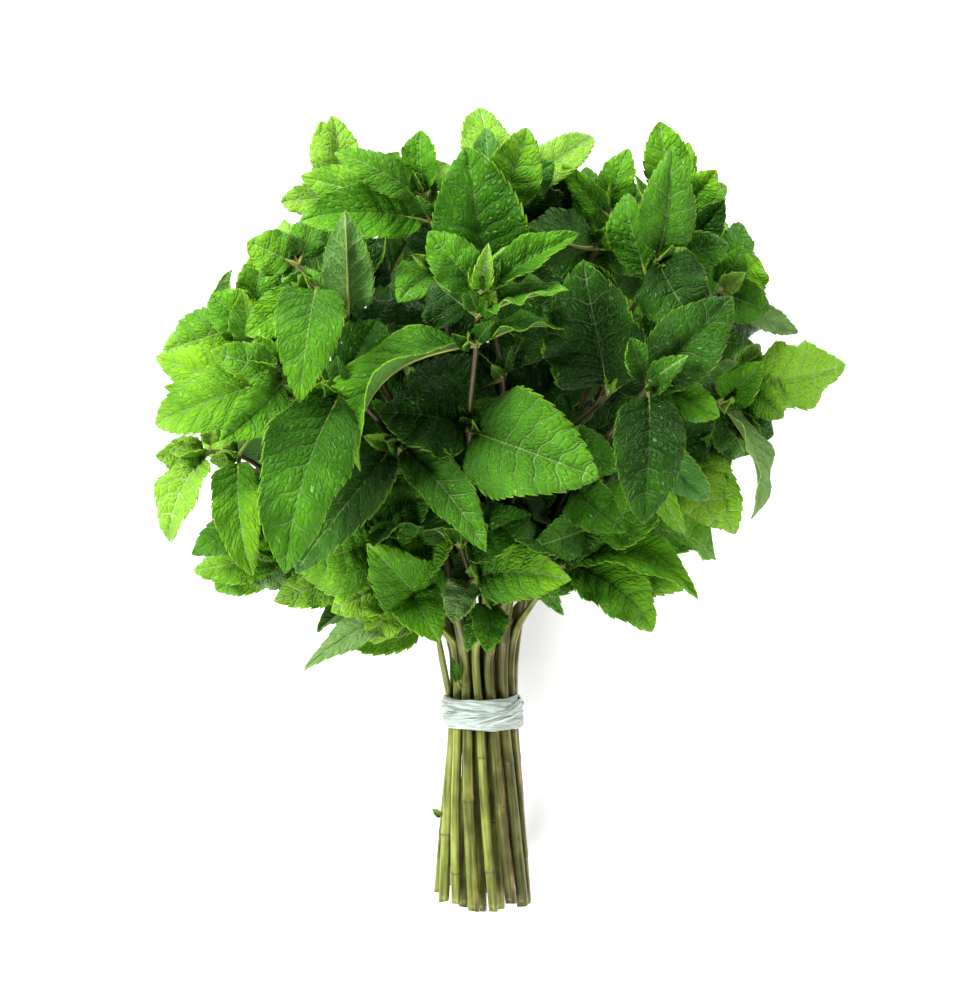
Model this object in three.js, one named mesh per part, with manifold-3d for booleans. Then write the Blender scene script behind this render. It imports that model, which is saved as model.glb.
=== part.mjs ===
// A tied bunch of spearmint, lying on a flat surface: twenty-two cut stems, each with its opposite
// pairs of toothed leaves fused on, and one winding of thin plastic twine round them all.
// Millimetres. X runs across the bunch, +Y from the cut ends to the head, +Z up from the surface.
import * as THREE from 'three';
import Module from 'manifold-3d';

const wasm = await Module();
wasm.setup();

// ---------------------------------------------------------------- driving dimensions

const GAP = 0.3;                 // clear space between separate pieces
const AXIS_RISE = 0.26;          // how fast the bundle's middle climbs toward the head
const AXIS_FOOT = 14.5;          // height of the bundle's middle at the cut ends
const TIE_Y = 57.5;
const NECK_Y = 80;               // the stems run side by side up to here
const TWIST = 0.45;              // turn of the bundle between its ends and its neck, radians

const RINGS = [                  // stems in the bundle, by distance from its middle at the tie
  { count: 1, radius: 0 },
  { count: 7, radius: 4.75 },
  { count: 14, radius: 9.15 },
];
const SPREAD = { foot: 1.46, tie: 1, neck: 1.1 };
const STEM = { foot: 2.2, tie: 1.85, neck: 1.85, tip: 1.25, corner: 0.9, step: 34 };
const CUT_FIRST = -2.2;          // y of the longest stem's cut end; the others are shorter
const CUT_STEP = 0.66;           // by steps of this
const HANG = 0.3;                // how far the leaves given by rule lean outward
const NECK_POINT = 3;            // place of the neck in a stem's list of points
const BUD_LENGTH = 1.6;

const BLADE = 0.7;               // leaf thickness
const PETIOLE = { width: 1.9, thick: 1.3, length: 2, sunk: 1 };
const FLAT_WIDTH = 1.16;         // a leaf laid flat is this much wider than its width in the list
const TOOTH = { valley: 0.9, peak: 1.07, first: 0.1, last: 0.97, lean: 0.62 };
const WIDE_LEAF = 20;            // leaves wider than this have five teeth a side
const SMALL_LEAF = 12.5;         // leaves wider than this four
const TINY_LEAF = 9.5;           // and leaves narrower than this two; hidden ones have one fewer

const TIE = { width: 10.4, wall: 0.8, lobes: 3, lobeDepth: 0.4, segments: 22, tilt: 0.07, ease: 0.45 };
const STRAND = { width: 2.4, thick: 0.9, steps: 7 };

const TRIES = 90;                // how often a leaf may be bent clear of its neighbours
const NUDGE = { x: 7, y: 7, z: 24, roll: 38, bow: 0.13, shrink: 0.25 };
const FILL_NUDGE = { x: 16, y: 16, z: 34, roll: 80, bow: 0.2, shrink: 0.45 };

// Each stem: its nodes from the lowest up, with a place and the leaves that grow there. A leaf is
// [x, y, z of its tip, width, roll in degrees, bow, fold in degrees]; roll 0 faces up. Those listed
// under fill stand behind the others and give way to them. A pair [length, width, turn in degrees] is
// two opposite leaves by rule, and a crown is two such pairs.
const SPRIGS = [
  { // front, middle
    nodes: [
      { at: [-4, 142, 86], leaves: [[34, 128, 112, 31, -8, 0.16, 8], [-32, 147, 80, 25, 12, 0.1, 18]] },
      { at: [-2, 167, 103], leaves: [[-39, 130, 104, 24, 68, 0.24, 8], [24, 172, 103, 15, -60, 0.12, 14]] },
      { at: [-1.5, 175.5, 109],
        leaves: [[25, 182, 118, 16, -58, 0.08, 12], [-15, 187, 101, 19, -8, 0.1, 14]] },
      { at: [-0.6, 182, 113], leaves: [[-16, 200, 117, 14, 4, 0.1, 14], [28, 199, 114, 12, -24, 0.06, 22],
        [1.5, 196, 121, 7, 0, 0.05, 20], [6, 194, 116, 7, -10, 0.05, 20]] },
    ],
  },
  { // right, front
    nodes: [
      { at: [26, 126, 78], leaves: [[42, 112, 96, 14, 0, 0.1, 12]] },
      { at: [40, 144, 95], leaves: [[68, 120, 90, 13, 8, 0.12, 14], [60, 110, 80, 8, 20, 0.05, 12]] },
      { at: [48.6, 155, 106], leaves: [[73, 181, 114, 19, 6, 0.12, 16], [47, 115, 113, 20, 0, 0.16, 14],
        [71, 145, 113, 13, 0, 0.1, 14], [57, 166, 113, 7, 0, 0.05, 14], [43, 169, 110, 9, 10, 0.05, 14]] },
    ],
  },
  { // left, front, bent out to the side
    nodes: [
      { at: [-26, 138, 87], leaves: [[3, 109, 108, 15, -18, 0.14, 24], [-57, 99, 97, 17, 10, 0.16, 14]] },
      { at: [-41, 154, 95], leaves: [[-61, 100, 109, 23, 4, 0.16, 10], [-32, 176, 90, 17, 0, 0.1, 12]] },
      { at: [-58, 158, 101], leaves: [[-80, 165, 106, 11, 14, 0.08, 14], [-99, 143, 95, 18, 8, 0.14, 12],
        [-77, 139, 107, 13, -14, 0.14, 14], [-66, 169, 104, 7, 0, 0.05, 16]] },
    ],
  },
  { // left, upper front
    nodes: [
      { at: [-22, 140, 72], fill: [[-56, 143, 84, 22, 0, 0.1, 12], [-4, 166, 76, 20, 0, 0.1, 12]] },
      { at: [-40, 173, 86], leaves: [[-40, 206, 99, 15, 172, -0.1, 16], [-19, 170, 95, 17, 0, 0.1, 14]] },
      { at: [-49, 184, 90], leaves: [[-54, 149, 115, 18, 2, 0.3, -8], [-71, 170, 90, 12, 0, 0.12, 10]] },
      { at: [-55, 191, 83], leaves: [[-70, 198, 84, 13, 6, 0.1, 8], [-50, 207, 70, 11, 0, 0.08, 12],
        [-63, 204, 60, 8, 0, 0.05, 12], [-64.5, 209, 58, 6, 60, 0.08, 12]] },
    ],
  },
  { // top, middle
    nodes: [
      { at: [6, 158, 68], fill: [[25, 192, 75, 24, 0, 0.1, 12], [-20, 146, 64, 22, 0, 0.1, 12]] },
      { at: [1, 184, 86], leaves: [[-5, 226, 98, 25, 4, 0.12, 20], [29, 176, 84, 20, 0, 0.1, 12]] },
      { at: [3, 205, 87], leaves: [[13.5, 232, 92, 16, 8, 0.08, 14], [0.5, 233, 79, 10, -8, 0.06, 12]] },
      { at: [3, 211, 83], leaves: [[-1, 239, 66, 14, 0, 0.08, 8], [21, 222, 84, 14, 0, 0.05, 14],
        [32.5, 230, 66, 14, 0, 0.08, 12]],
        fill: [[26, 208, 72, 19, 0, 0.1, 12]] },
    ],
  },
  { // upper right
    nodes: [
      { at: [24, 138, 66], pair: [42, 22, 40] },
      { at: [41, 172, 82], fill: [[70, 162, 84, 20, 0, 0.1, 12], [24, 193, 82, 20, 0, 0.1, 12]] },
      { at: [49, 187, 90], leaves: [[41, 212, 93, 13, -20, 0.1, 14], [67, 181, 96, 14, 10, 0.1, 14]] },
      { at: [51.6, 193, 94], leaves: [[57, 225, 99, 17, -6, 0.12, 18], [65, 169, 109, 22, 2, 0.18, 12],
        [72, 195, 98, 11, 6, 0.1, 14], [45, 218, 90, 6, 60, 0.05, 14]] },
    ],
  },
  { // right of the middle, with the widest leaf
    nodes: [
      { at: [14, 119, 60], fill: [[15, 96, 78, 20, 0, 0.12, 12], [32, 140, 70, 22, 0, 0.1, 12]] },
      { at: [24, 140, 78], leaves: [[41, 132, 93, 13, 6, 0.1, 12], [8, 123, 90, 15, 0, 0.1, 14]] },
      { at: [37, 153, 86], leaves: [[29, 193, 105, 29, -6, 0.1, 8], [37, 120, 88, 19, 6, 0.12, 12]] },
      { at: [42, 164, 90], leaves: [[53, 173, 98, 9, 0, 0.08, 12], [34, 178, 90, 9, 0, 0.08, 12]] },
    ],
  },
  { // top left
    nodes: [
      { at: [-9, 160, 68], fill: [[-36, 172, 76, 24, 0, 0.1, 12], [13, 183, 68, 20, 0, 0.1, 12]] },
      { at: [-13, 188, 80], leaves: [[-25, 180, 97, 16, 20, 0.14, 12], [-12, 216, 70, 12, 0, 0.1, 12]] },
      { at: [-15, 204, 82], leaves: [[-55, 205, 85, 16, 10, 0.12, 10], [3, 208, 64, 13, 0, 0.1, 12]] },
      { at: [-17, 211, 83], leaves: [[-54, 218, 76, 14, -6, 0.12, 12], [-46, 222.5, 80, 12, 8, 0.12, 10],
        [-18, 232, 85, 11, -10, 0.1, 8], [-11, 222, 72, 8, 0, 0.05, 12]] },
    ],
  },
  { // lower left, front
    nodes: [
      { at: [-12.4, 82.5, 42], leaves: [[-53, 70, 56, 12, 34, 0.28, 16]] },
      { at: [-17, 88, 46], leaves: [[-34, 107, 87, 21, -6, 0.12, 10]] },
      { at: [-24, 99, 56], leaves: [[-44, 91, 80, 15, 0, 0.14, 8], [-8, 117, 80, 14, 0, 0.1, 12]] },
      { at: [-32, 110, 66], leaves: [[-56, 103, 89, 26, 2, 0.14, 8], [-14, 127, 90, 15, 0, 0.1, 14]] },
      { at: [-39, 119, 72], leaves: [[-50, 131, 86, 13, 0, 0.1, 12], [-32, 139, 84, 12, 0, 0.1, 12]] },
    ],
  },
  { // lower middle, front
    nodes: [
      { at: [2, 91, 57], leaves: [[1, 76, 66, 11, -10, 0.18, 10], [-5, 76, 60, 6, 20, 0.05, 12]] },
      { at: [-3, 98, 66], leaves: [[26, 98, 89, 16, -10, 0.14, 8], [-9, 84, 74, 10, 20, 0.2, 12]] },
      { at: [-7, 108, 75], leaves: [[14, 117, 88, 16, 0, 0.1, 12]], fill: [[-25, 124, 86, 17, 0, 0.1, 12]] },
    ],
  },
  { // lower right
    nodes: [
      { at: [16, 92, 51], leaves: [[32, 105, 44, 12, 20, 0.1, 12]] },
      { at: [24, 102, 58], leaves: [[52, 82, 63, 16, -22, 0.18, 10], [65, 91.5, 61, 14, -36, 0.2, 18]] },
      { at: [31, 113, 66], leaves: [[14, 107, 86, 12, 0, 0.14, 10], [54, 122, 72, 18, 0, 0.1, 12]] },
    ],
  },
  { // left
    nodes: [
      { at: [-33, 126, 53], fill: [[-66, 138, 56, 23, 0, 0.1, 12], [-44, 162, 62, 24, 0, 0.1, 12]] },
      { at: [-56, 152, 56], leaves: [[-97, 164.5, 48, 20, 0, 0.1, 8], [-94, 154, 65, 13, 10, 0.12, 12]] },
      { at: [-68, 169, 60], leaves: [[-81, 183, 57, 15, 10, 0.08, 12], [-70, 184, 73, 12, -20, 0.08, 14]] },
      { at: [-69.5, 175, 60], leaves: [[-66, 197, 62, 12, 0, 0.1, 14], [-79, 182, 46, 9, 0, 0.08, 12]] },
    ],
  },
  { // left, low
    nodes: [
      { at: [-30, 108, 48], pair: [32, 16, 0] },
      { at: [-56, 123, 52], leaves: [[-88, 105, 48, 13, 6, 0.14, 10], [-69, 134, 44, 9, 0, 0.08, 12]] },
      { at: [-73, 135, 60], leaves: [[-69, 98, 73, 14, 10, 0.18, 14], [-58, 149, 78, 15, 165, -0.08, 12]] },
      { at: [-82, 136, 62], leaves: [[-98, 135, 64, 9, -24, 0.06, 14], [-94.5, 108.5, 67, 15, 25, 0.17, 8],
        [-82, 147, 66, 6, 0, 0.05, 14]] },
    ],
  },
  { // right
    nodes: [
      { at: [44, 138, 54], pair: [40, 22, 60] },
      { at: [64, 171, 62], leaves: [[78, 168, 62, 12, 0, 0.08, 10], [79, 199, 57, 10, 0, 0.1, 10]] },
      { at: [71, 184, 66], leaves: [[83, 194, 63, 14, 8, 0.1, 10], [85, 178, 67, 13, 0, 0.1, 12],
        [94.2, 172, 54, 8, 0, 0.1, 14], [77, 197, 74, 8, 0, 0.08, 12]] },
    ],
  },
  { // right, low
    nodes: [
      { at: [38, 114, 36], pair: [40, 21, 20] },
      { at: [61, 138, 41], leaves: [[71, 113, 43, 16, 6, 0.12, 8], [50, 114, 36, 12, 0, 0.1, 10]] },
      { at: [71, 151, 50], leaves: [[82.5, 115.3, 52, 12, -58, 0.18, 14], [84, 163, 62, 11, 0, 0.1, 12]] },
      { at: [77, 158, 48], leaves: [[108.6, 163, 42, 20, 38, 0.15, 6], [90, 146, 47, 11, 10, 0.08, 12]] },
    ],
  },
  { // top right, back
    nodes: [
      { at: [12, 146, 54], fill: [[34, 172, 66, 24, 0, 0.1, 12], [-10, 168, 52, 22, 0, 0.1, 12]] },
      { at: [24, 176, 60], pair: [40, 22, 10] },
      { at: [34, 197, 66], leaves: [[12.5, 203, 89, 18, 168, -0.1, 12], [49, 193, 62, 13, 0, 0.1, 12]],
        fill: [[17, 216, 60, 17, 0, 0.1, 12]] },
      { at: [38, 206, 64], leaves: [[43.5, 227, 66, 11, -14, 0.1, 12],
        [24, 223, 71, 9, 0, 0.08, 14]] },
    ],
  },
  { // right, top back
    nodes: [
      { at: [36, 156, 50], pair: [40, 22, 40] },
      { at: [56, 195, 57], leaves: [[72, 211, 74, 14, 8, 0.08, 12], [75, 205, 50, 10, 0, 0.1, 10]] },
      { at: [59, 209, 57], leaves: [[53, 235.5, 58, 13, 0, 0.08, 8], [61.5, 229, 51, 8, 0, 0.06, 10],
        [70, 220, 64, 11, 14, 0.08, 12], [73, 217, 54, 9, 0, 0.08, 12]] },
    ],
  },
  { // left, top back
    nodes: [
      { at: [-20, 148, 48], pair: [36, 18, 90] },
      { at: [-32, 180, 50], pair: [40, 22, 0] },
      { at: [-40, 204, 51], leaves: [[-25, 227, 46, 9, 0, 0.08, 10], [-30, 218, 66, 12, 0, 0.1, 10]] },
      { at: [-43, 213, 50], leaves: [[-45, 238, 51, 12, 14, 0.06, 18], [-61.5, 211.5, 44, 9, 0, 0.08, 8]] },
    ],
  },
  { // lower left, back
    nodes: [
      { at: [-20, 92, 29], pair: [28, 14, 40] },
      { at: [-41, 99, 38], leaves: [[-63, 91, 47, 12, 6, 0.12, 10], [-50, 118, 30, 14, 0, 0.1, 12]] },
      { at: [-58, 106, 40], leaves: [[-70, 96, 40, 13, 0, 0.1, 8], [-82, 97.5, 34, 13, 0, 0.12, 10],
        [-74, 119, 34, 10, 0, 0.1, 12]] },
    ],
  },
  { // underneath, left
    nodes: [
      { at: [-20, 114, 19], pair: [44, 25, 0] },
      { at: [-40, 138, 13], pair: [44, 25, 60] },
      { at: [-54, 158, 12], pair: [40, 24, 0] },
      { at: [-62, 171, 18], crown: [30, 16, 80] },
    ],
  },
  { // underneath, middle
    nodes: [
      { at: [-3, 118, 17], pair: [44, 25, 50] },
      { at: [-4, 148, 11], pair: [46, 26, 0] },
      { at: [-5, 176, 11], pair: [42, 24, 50] },
      { at: [-7, 196, 18], crown: [30, 16, 10] },
    ],
  },
  { // underneath, right
    nodes: [
      { at: [20, 116, 19], pair: [44, 25, 10] },
      { at: [36, 142, 13], pair: [44, 25, 55] },
      { at: [46, 164, 12], pair: [40, 24, 0] },
      { at: [54, 182, 18], crown: [30, 16, 85] },
    ],
  },
];

// ---------------------------------------------------------------- solids from points

const rad = THREE.MathUtils.degToRad;
const vec = (x, y, z) => new THREE.Vector3(x, y, z);
const UP = vec(0, 0, 1);

// A closed solid from a list of Vector3 and a list of vertex triples.
function solidFrom(points, triples) {
  const vertProperties = new Float32Array(points.flatMap((p) => [p.x, p.y, p.z]));
  const triVerts = new Uint32Array(triples.flat());
  return new wasm.Manifold(new wasm.Mesh({ numProp: 3, vertProperties, triVerts }));
}

// A skin through rings, each running anticlockwise seen from its far side, with flat ends, or
// joined end to start when closed. A ring may have half as many points as the one before it.
function loft(rings, closed = false) {
  const starts = [];
  rings.reduce((sum, ring, r) => {
    starts[r] = sum;
    return sum + ring.length;
  }, 0);
  const triples = [];
  const spans = closed ? rings.length : rings.length - 1;
  for (let r = 0; r < spans; r += 1) {
    const next = (r + 1) % rings.length;
    const n = rings[r].length;
    const m = rings[next].length;
    for (let i = 0; i < n; i += 1) {
      const a = starts[r] + i;
      const a2 = starts[r] + ((i + 1) % n);
      const b = starts[next] + Math.floor((i * m) / n);
      const b2 = starts[next] + (Math.floor(((i + 1) * m) / n) % m);
      triples.push([a, a2, b2]);
      if (b !== b2) {
        triples.push([a, b2, b]);
      }
    }
  }
  if (!closed) {
    const top = starts[rings.length - 1];
    for (let i = 1; i < rings[0].length - 1; i += 1) {
      triples.push([0, i + 1, i]);
    }
    for (let i = 1; i < rings[rings.length - 1].length - 1; i += 1) {
      triples.push([top, top + i, top + i + 1]);
    }
  }
  return solidFrom(rings.flat(), triples);
}

// Numbers from -1 to 1, the same on every run for the same seed.
function draws(seed) {
  let state = (seed * 7919 + 12345) >>> 0;
  return () => {
    state = (Math.imul(state, 1664525) + 1013904223) >>> 0;
    return (state / 4294967296) * 2 - 1;
  };
}

// ---------------------------------------------------------------- the bundle and its stems

const axisHeight = (y) => AXIS_FOOT + AXIS_RISE * y;
const AXIS_ANGLE = Math.atan(AXIS_RISE);

// A point of the bundle at a height y, off its middle by a radius and an angle square to its length.
function bundlePoint(y, radius, angle) {
  const side = radius * Math.sin(angle);
  return vec(
    radius * Math.cos(angle),
    y - side * Math.sin(AXIS_ANGLE),
    axisHeight(y) + side * Math.cos(AXIS_ANGLE),
  );
}

// Each stem stands on the side of the bundle to which its head leans, the steepest outermost.
function giveSlots(sprigs) {
  const leaning = sprigs.map((sprig, index) => {
    const [x, y, z] = sprig.nodes[sprig.nodes.length - 1].at;
    const rise = z - axisHeight(y);
    return { index, angle: Math.atan2(rise, x), lean: Math.hypot(x, rise) / (y - NECK_Y + 12) };
  });
  leaning.sort((a, b) => a.lean - b.lean);
  const slots = [];
  let taken = 0;
  for (const { count, radius } of RINGS) {
    const ring = leaning.slice(taken, taken + count).sort((a, b) => a.angle - b.angle);
    taken += count;
    const pitch = (2 * Math.PI) / count;
    const misses = ring.map((one, k) => one.angle - k * pitch);
    const start = Math.atan2(
      misses.reduce((sum, m) => sum + Math.sin(m), 0),
      misses.reduce((sum, m) => sum + Math.cos(m), 0),
    );
    ring.forEach((one, k) => {
      slots[one.index] = { radius, angle: start + k * pitch };
    });
  }
  return slots;
}

// The stem's course: cut end, a point below the tie, tie, neck, then its nodes, each with a radius.
// No stem dips below the surface that the bunch lies on.
function stemCourse(sprig, slot, index) {
  const end = CUT_FIRST + CUT_STEP * ((index * 5) % 7);
  const low = [
    { y: end, spread: SPREAD.foot, radius: STEM.foot, turn: -TWIST },
    { y: TIE_Y * 0.5, spread: (SPREAD.foot + SPREAD.tie) / 2, radius: 2.08, turn: -TWIST * 0.6 },
    { y: TIE_Y, spread: SPREAD.tie, radius: STEM.tie, turn: -TWIST * 0.25 },
    { y: NECK_Y, spread: SPREAD.neck, radius: STEM.neck, turn: 0 },
  ].map(({ y, spread, radius, turn }) => {
    const point = bundlePoint(y, slot.radius * spread, slot.angle + turn);
    point.z = Math.max(point.z, radius);
    return { point, radius };
  });
  const high = sprig.nodes.map((node, k) => {
    const part = (k + 1) / sprig.nodes.length;
    return { point: vec(...node.at), radius: STEM.neck + (STEM.tip - STEM.neck) * part };
  });
  return [...low, ...high];
}

// The stem's corners are cut in the bundle, where it is old, and sharp above the neck.
function stemSolid(course) {
  const curve = new THREE.CatmullRomCurve3(course.map((c) => c.point), false, 'centripetal');
  const last = course.length - 1;
  const stations = [];
  for (let k = 0; k < last; k += 1) {
    const steps = Math.max(1, Math.ceil(course[k].point.distanceTo(course[k + 1].point) / STEM.step));
    for (let s = 0; s < steps; s += 1) {
      const part = s / steps;
      const radius = course[k].radius * (1 - part) + course[k + 1].radius * part;
      stations.push({ at: (k + part) / last, radius, corner: k < NECK_POINT ? STEM.corner : 0 });
    }
  }
  stations.push({ at: 1, radius: course[last].radius, corner: 0 });
  let side = vec(1, 0, 0);
  const rings = stations.map(({ at, radius, corner }) => {
    const along = curve.getTangent(at);
    side = side.clone().addScaledVector(along, -side.dot(along)).normalize();
    return stemRing(curve.getPoint(at), along, side, radius, corner);
  });
  const tangent = curve.getTangent(1);
  const bud = curve.getPoint(1).addScaledVector(tangent, BUD_LENGTH);
  rings.push(stemRing(bud, tangent, side, STEM.tip * 0.4, 0));
  return loft(rings);
}

function stemRing(centre, along, side, radius, corner) {
  const other = vec().crossVectors(along, side);
  const turns = [1, 3, 5, 7].flatMap((k) => {
    const turn = (k * Math.PI) / 4;
    return corner ? [turn - corner / 2, turn + corner / 2] : [turn];
  });
  return turns.map((turn) => centre.clone()
    .addScaledVector(side, radius * Math.cos(turn))
    .addScaledVector(other, radius * Math.sin(turn)));
}

// ---------------------------------------------------------------- leaves

// Half the width of a leaf along its blade, as a share of the most: round below, pointed above.
const outline = (v) => (v ** 0.55 * (1 - v) ** 0.85) / 0.3914;

// The two leaves of an opposite pair, by rule: they leave the stem to both sides, hang outward, and
// face outward and toward the stem's tip, as on a bunch that is held together low down.
function pairLeaves(base, along, [length, width, turn], splay, seed) {
  const random = draws(seed);
  const outward = vec(base.x, 0, base.z - axisHeight(base.y)).normalize();
  const up = UP.clone().addScaledVector(along, -UP.dot(along)).normalize();
  const side = up.applyAxisAngle(along, rad(turn + 90));
  return [1, -1].map((sign) => {
    const lean = rad(splay + 10 * random());
    const way = side.clone().applyAxisAngle(along, 0.25 * random()).multiplyScalar(sign * Math.sin(lean));
    way.addScaledVector(along, Math.cos(lean)).addScaledVector(outward, HANG).normalize();
    return {
      base,
      tip: base.clone().addScaledVector(way, length * (1 + 0.12 * random())),
      width: width * (1 + 0.1 * random()),
      facing: outward.clone().addScaledVector(along, 0.5),
      roll: 20 * random(),
      bow: 0.12 + 0.06 * random(),
      fold: 12 + 8 * random(),
    };
  });
}

function nodeLeaves(sprig, sprigIndex, course) {
  const leaves = [];
  sprig.nodes.forEach((node, k) => {
    const base = vec(...node.at);
    const below = course[course.length - sprig.nodes.length + k - 1].point;
    const along = base.clone().sub(below).normalize();
    const seed = sprigIndex * 31 + k * 7;
    for (const [list, shown] of [[node.leaves ?? [], true], [node.fill ?? [], false]]) {
      for (const [x, y, z, width, roll, bow, fold] of list) {
        leaves.push({ base, tip: vec(x, y, z), width, facing: UP.clone(), roll, bow, fold, shown });
      }
    }
    if (node.pair) {
      leaves.push(...pairLeaves(base, along, node.pair, 62, seed));
    }
    if (node.crown) {
      const [length, width, turn] = node.crown;
      leaves.push(...pairLeaves(base, along, [length, width, turn], 48, seed));
      leaves.push(...pairLeaves(base, along, [length * 0.6, width * 0.6, turn + 90], 26, seed + 3));
    }
  });
  return leaves.map((leaf, k) => ({ ...leaf, sprig: sprigIndex, seed: sprigIndex * 64 + k + 1 }));
}

// The same leaf bent a little further each time.
function nudged(leaf, count) {
  if (count === 0) {
    return leaf;
  }
  const random = draws(leaf.seed * 101 + count);
  const amount = count / TRIES;
  const most = leaf.shown ? NUDGE : FILL_NUDGE;
  const shift = vec(most.x * random(), most.y * random(), most.z * random()).multiplyScalar(amount);
  return {
    ...leaf,
    tip: leaf.tip.clone().add(shift),
    roll: leaf.roll + most.roll * amount * random(),
    bow: leaf.bow + most.bow * amount * random(),
    width: leaf.width * (1 - most.shrink * amount * Math.abs(random())),
  };
}

// Frame and middle surface of a leaf: v runs from the stem to the tip, side from -1 to 1.
function bladeShape(leaf) {
  const along = leaf.tip.clone().sub(leaf.base);
  const length = along.length();
  along.divideScalar(length);
  const face = leaf.facing.clone().addScaledVector(along, -leaf.facing.dot(along)).normalize();
  face.applyAxisAngle(along, rad(leaf.roll));
  const across = vec().crossVectors(along, face);
  const fold = rad(leaf.fold);
  const start = Math.min(0.3, PETIOLE.length / length + 0.04);
  const at = (v, side, half) => {
    const arch = 4 * leaf.bow * length;
    const slope = (arch * (1 - 2 * v)) / length;
    const tilt = face.clone().addScaledVector(along, -slope).normalize();
    const normal = tilt.clone().multiplyScalar(Math.cos(fold));
    normal.addScaledVector(across, -side * Math.sin(fold));
    const point = leaf.base.clone().addScaledVector(along, v * length);
    point.addScaledVector(face, arch * v * (1 - v));
    point.addScaledVector(across, side * half * Math.cos(fold));
    point.addScaledVector(tilt, Math.abs(side) * half * Math.sin(fold));
    return { point, normal };
  };
  return { at, start };
}

const teethOf = ({ width, shown }) => {
  const most = width > WIDE_LEAF ? 5 : width > SMALL_LEAF ? 4 : width > TINY_LEAF ? 3 : 2;
  return Math.max(2, most - (shown ? 0 : 1));
};
const ribsOf = ({ width, shown }) => {
  if (width < SMALL_LEAF || !shown) {
    return [0.42];
  }
  return width > WIDE_LEAF ? [0.25, 0.5, 0.75] : [0.3, 0.62];
};

// What would sink below the surface lies flat on it instead.
const pressed = (point, least) => point.setZ(Math.max(point.z, least));

function bladeSolid(leaf, rooted) {
  const { at, start } = bladeShape(leaf);
  const half = (leaf.width * FLAT_WIDTH) / 2;
  const teeth = teethOf(leaf);
  const bladeAt = (v) => start + v * (1 - start);
  const edge = [{ v: bladeAt(0), half: PETIOLE.width / 2, thick: PETIOLE.thick }];
  const pitch = (TOOTH.last - TOOTH.first) / teeth;
  for (let k = 0; k < teeth; k += 1) {
    const valley = TOOTH.first + pitch * k;
    const peak = valley + pitch * TOOTH.lean;
    edge.push({ v: bladeAt(valley), half: half * outline(valley) * (k ? TOOTH.valley : 1), thick: BLADE });
    edge.push({ v: bladeAt(peak), half: half * outline(peak) * TOOTH.peak, thick: 0 });
  }
  const points = [];
  const add = (v, side, width, thick) => {
    const { point, normal } = at(v, side, width);
    if (thick === 0) {
      points.push(pressed(point, 0));
      return { top: points.length - 1, under: points.length - 1 };
    }
    const upper = normal.z > 0 ? 1 : -1;
    const lowest = (sign) => (sign === upper ? thick : 0);
    points.push(pressed(point.clone().addScaledVector(normal, thick / 2), lowest(1)));
    points.push(pressed(point.clone().addScaledVector(normal, -thick / 2), lowest(-1)));
    return { top: points.length - 2, under: points.length - 1 };
  };
  const right = edge.map((e) => ({ v: e.v, ...add(e.v, 1, e.half, e.thick) }));
  const left = edge.map((e) => ({ v: e.v, ...add(e.v, -1, e.half, e.thick) }));
  const rib = [0, ...ribsOf(leaf)].map((v) => {
    const thick = v === 0 ? PETIOLE.thick : BLADE;
    return { v: bladeAt(v), ...add(bladeAt(v), 0, 0, thick) };
  });
  const tip = { v: 1, ...add(1, 0, 0, 0) };
  [right, left, rib].forEach((row) => row.push(tip));
  const triples = [];
  const face = (a, b, c) => {
    if (a !== b && b !== c && a !== c) {
      triples.push([a, b, c]);
    }
  };
  const sheet = (a, b, c) => {
    face(a.top, b.top, c.top);
    face(a.under, c.under, b.under);
  };
  for (const [row, turned] of [[right, false], [left, true]]) {
    const tri = turned ? (a, b, c) => sheet(a, c, b) : sheet;
    let i = 0;
    let j = 0;
    while (i < row.length - 1 || j < rib.length - 1) {
      const edgeNext = i < row.length - 1 ? row[i + 1].v : 2;
      const ribNext = j < rib.length - 1 ? rib[j + 1].v : 2;
      if (edgeNext <= ribNext) {
        tri(rib[j], row[i], row[i + 1]);
        i += 1;
      } else {
        tri(rib[j], row[i], rib[j + 1]);
        j += 1;
      }
    }
    for (let k = 0; k < row.length - 1; k += 1) {
      const [a, b] = turned ? [row[k + 1], row[k]] : [row[k], row[k + 1]];
      face(a.under, b.under, b.top);
      face(a.under, b.top, a.top);
    }
  }
  if (rooted) {
    const root = add(-PETIOLE.sunk / leaf.tip.distanceTo(leaf.base), 0, 0, 0);
    sheet(left[0], root, rib[0]);
    sheet(root, right[0], rib[0]);
    face(root.top, right[0].under, right[0].top);
    face(root.top, left[0].top, left[0].under);
  } else {
    face(left[0].under, rib[0].under, rib[0].top);
    face(left[0].under, rib[0].top, left[0].top);
    face(rib[0].under, right[0].under, right[0].top);
    face(rib[0].under, right[0].top, rib[0].top);
  }
  return solidFrom(points, triples);
}

// ---------------------------------------------------------------- keeping pieces clear

function near(a, b) {
  return [0, 1, 2].every((i) => a.min[i] - GAP < b.max[i] && b.min[i] - GAP < a.max[i]);
}

const apart = (a, b, gap) => !near(a.box, b.box) || a.solid.minGap(b.solid, gap * 2) >= gap;
const boxed = (solid) => ({ solid, box: solid.boundingBox() });

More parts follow.
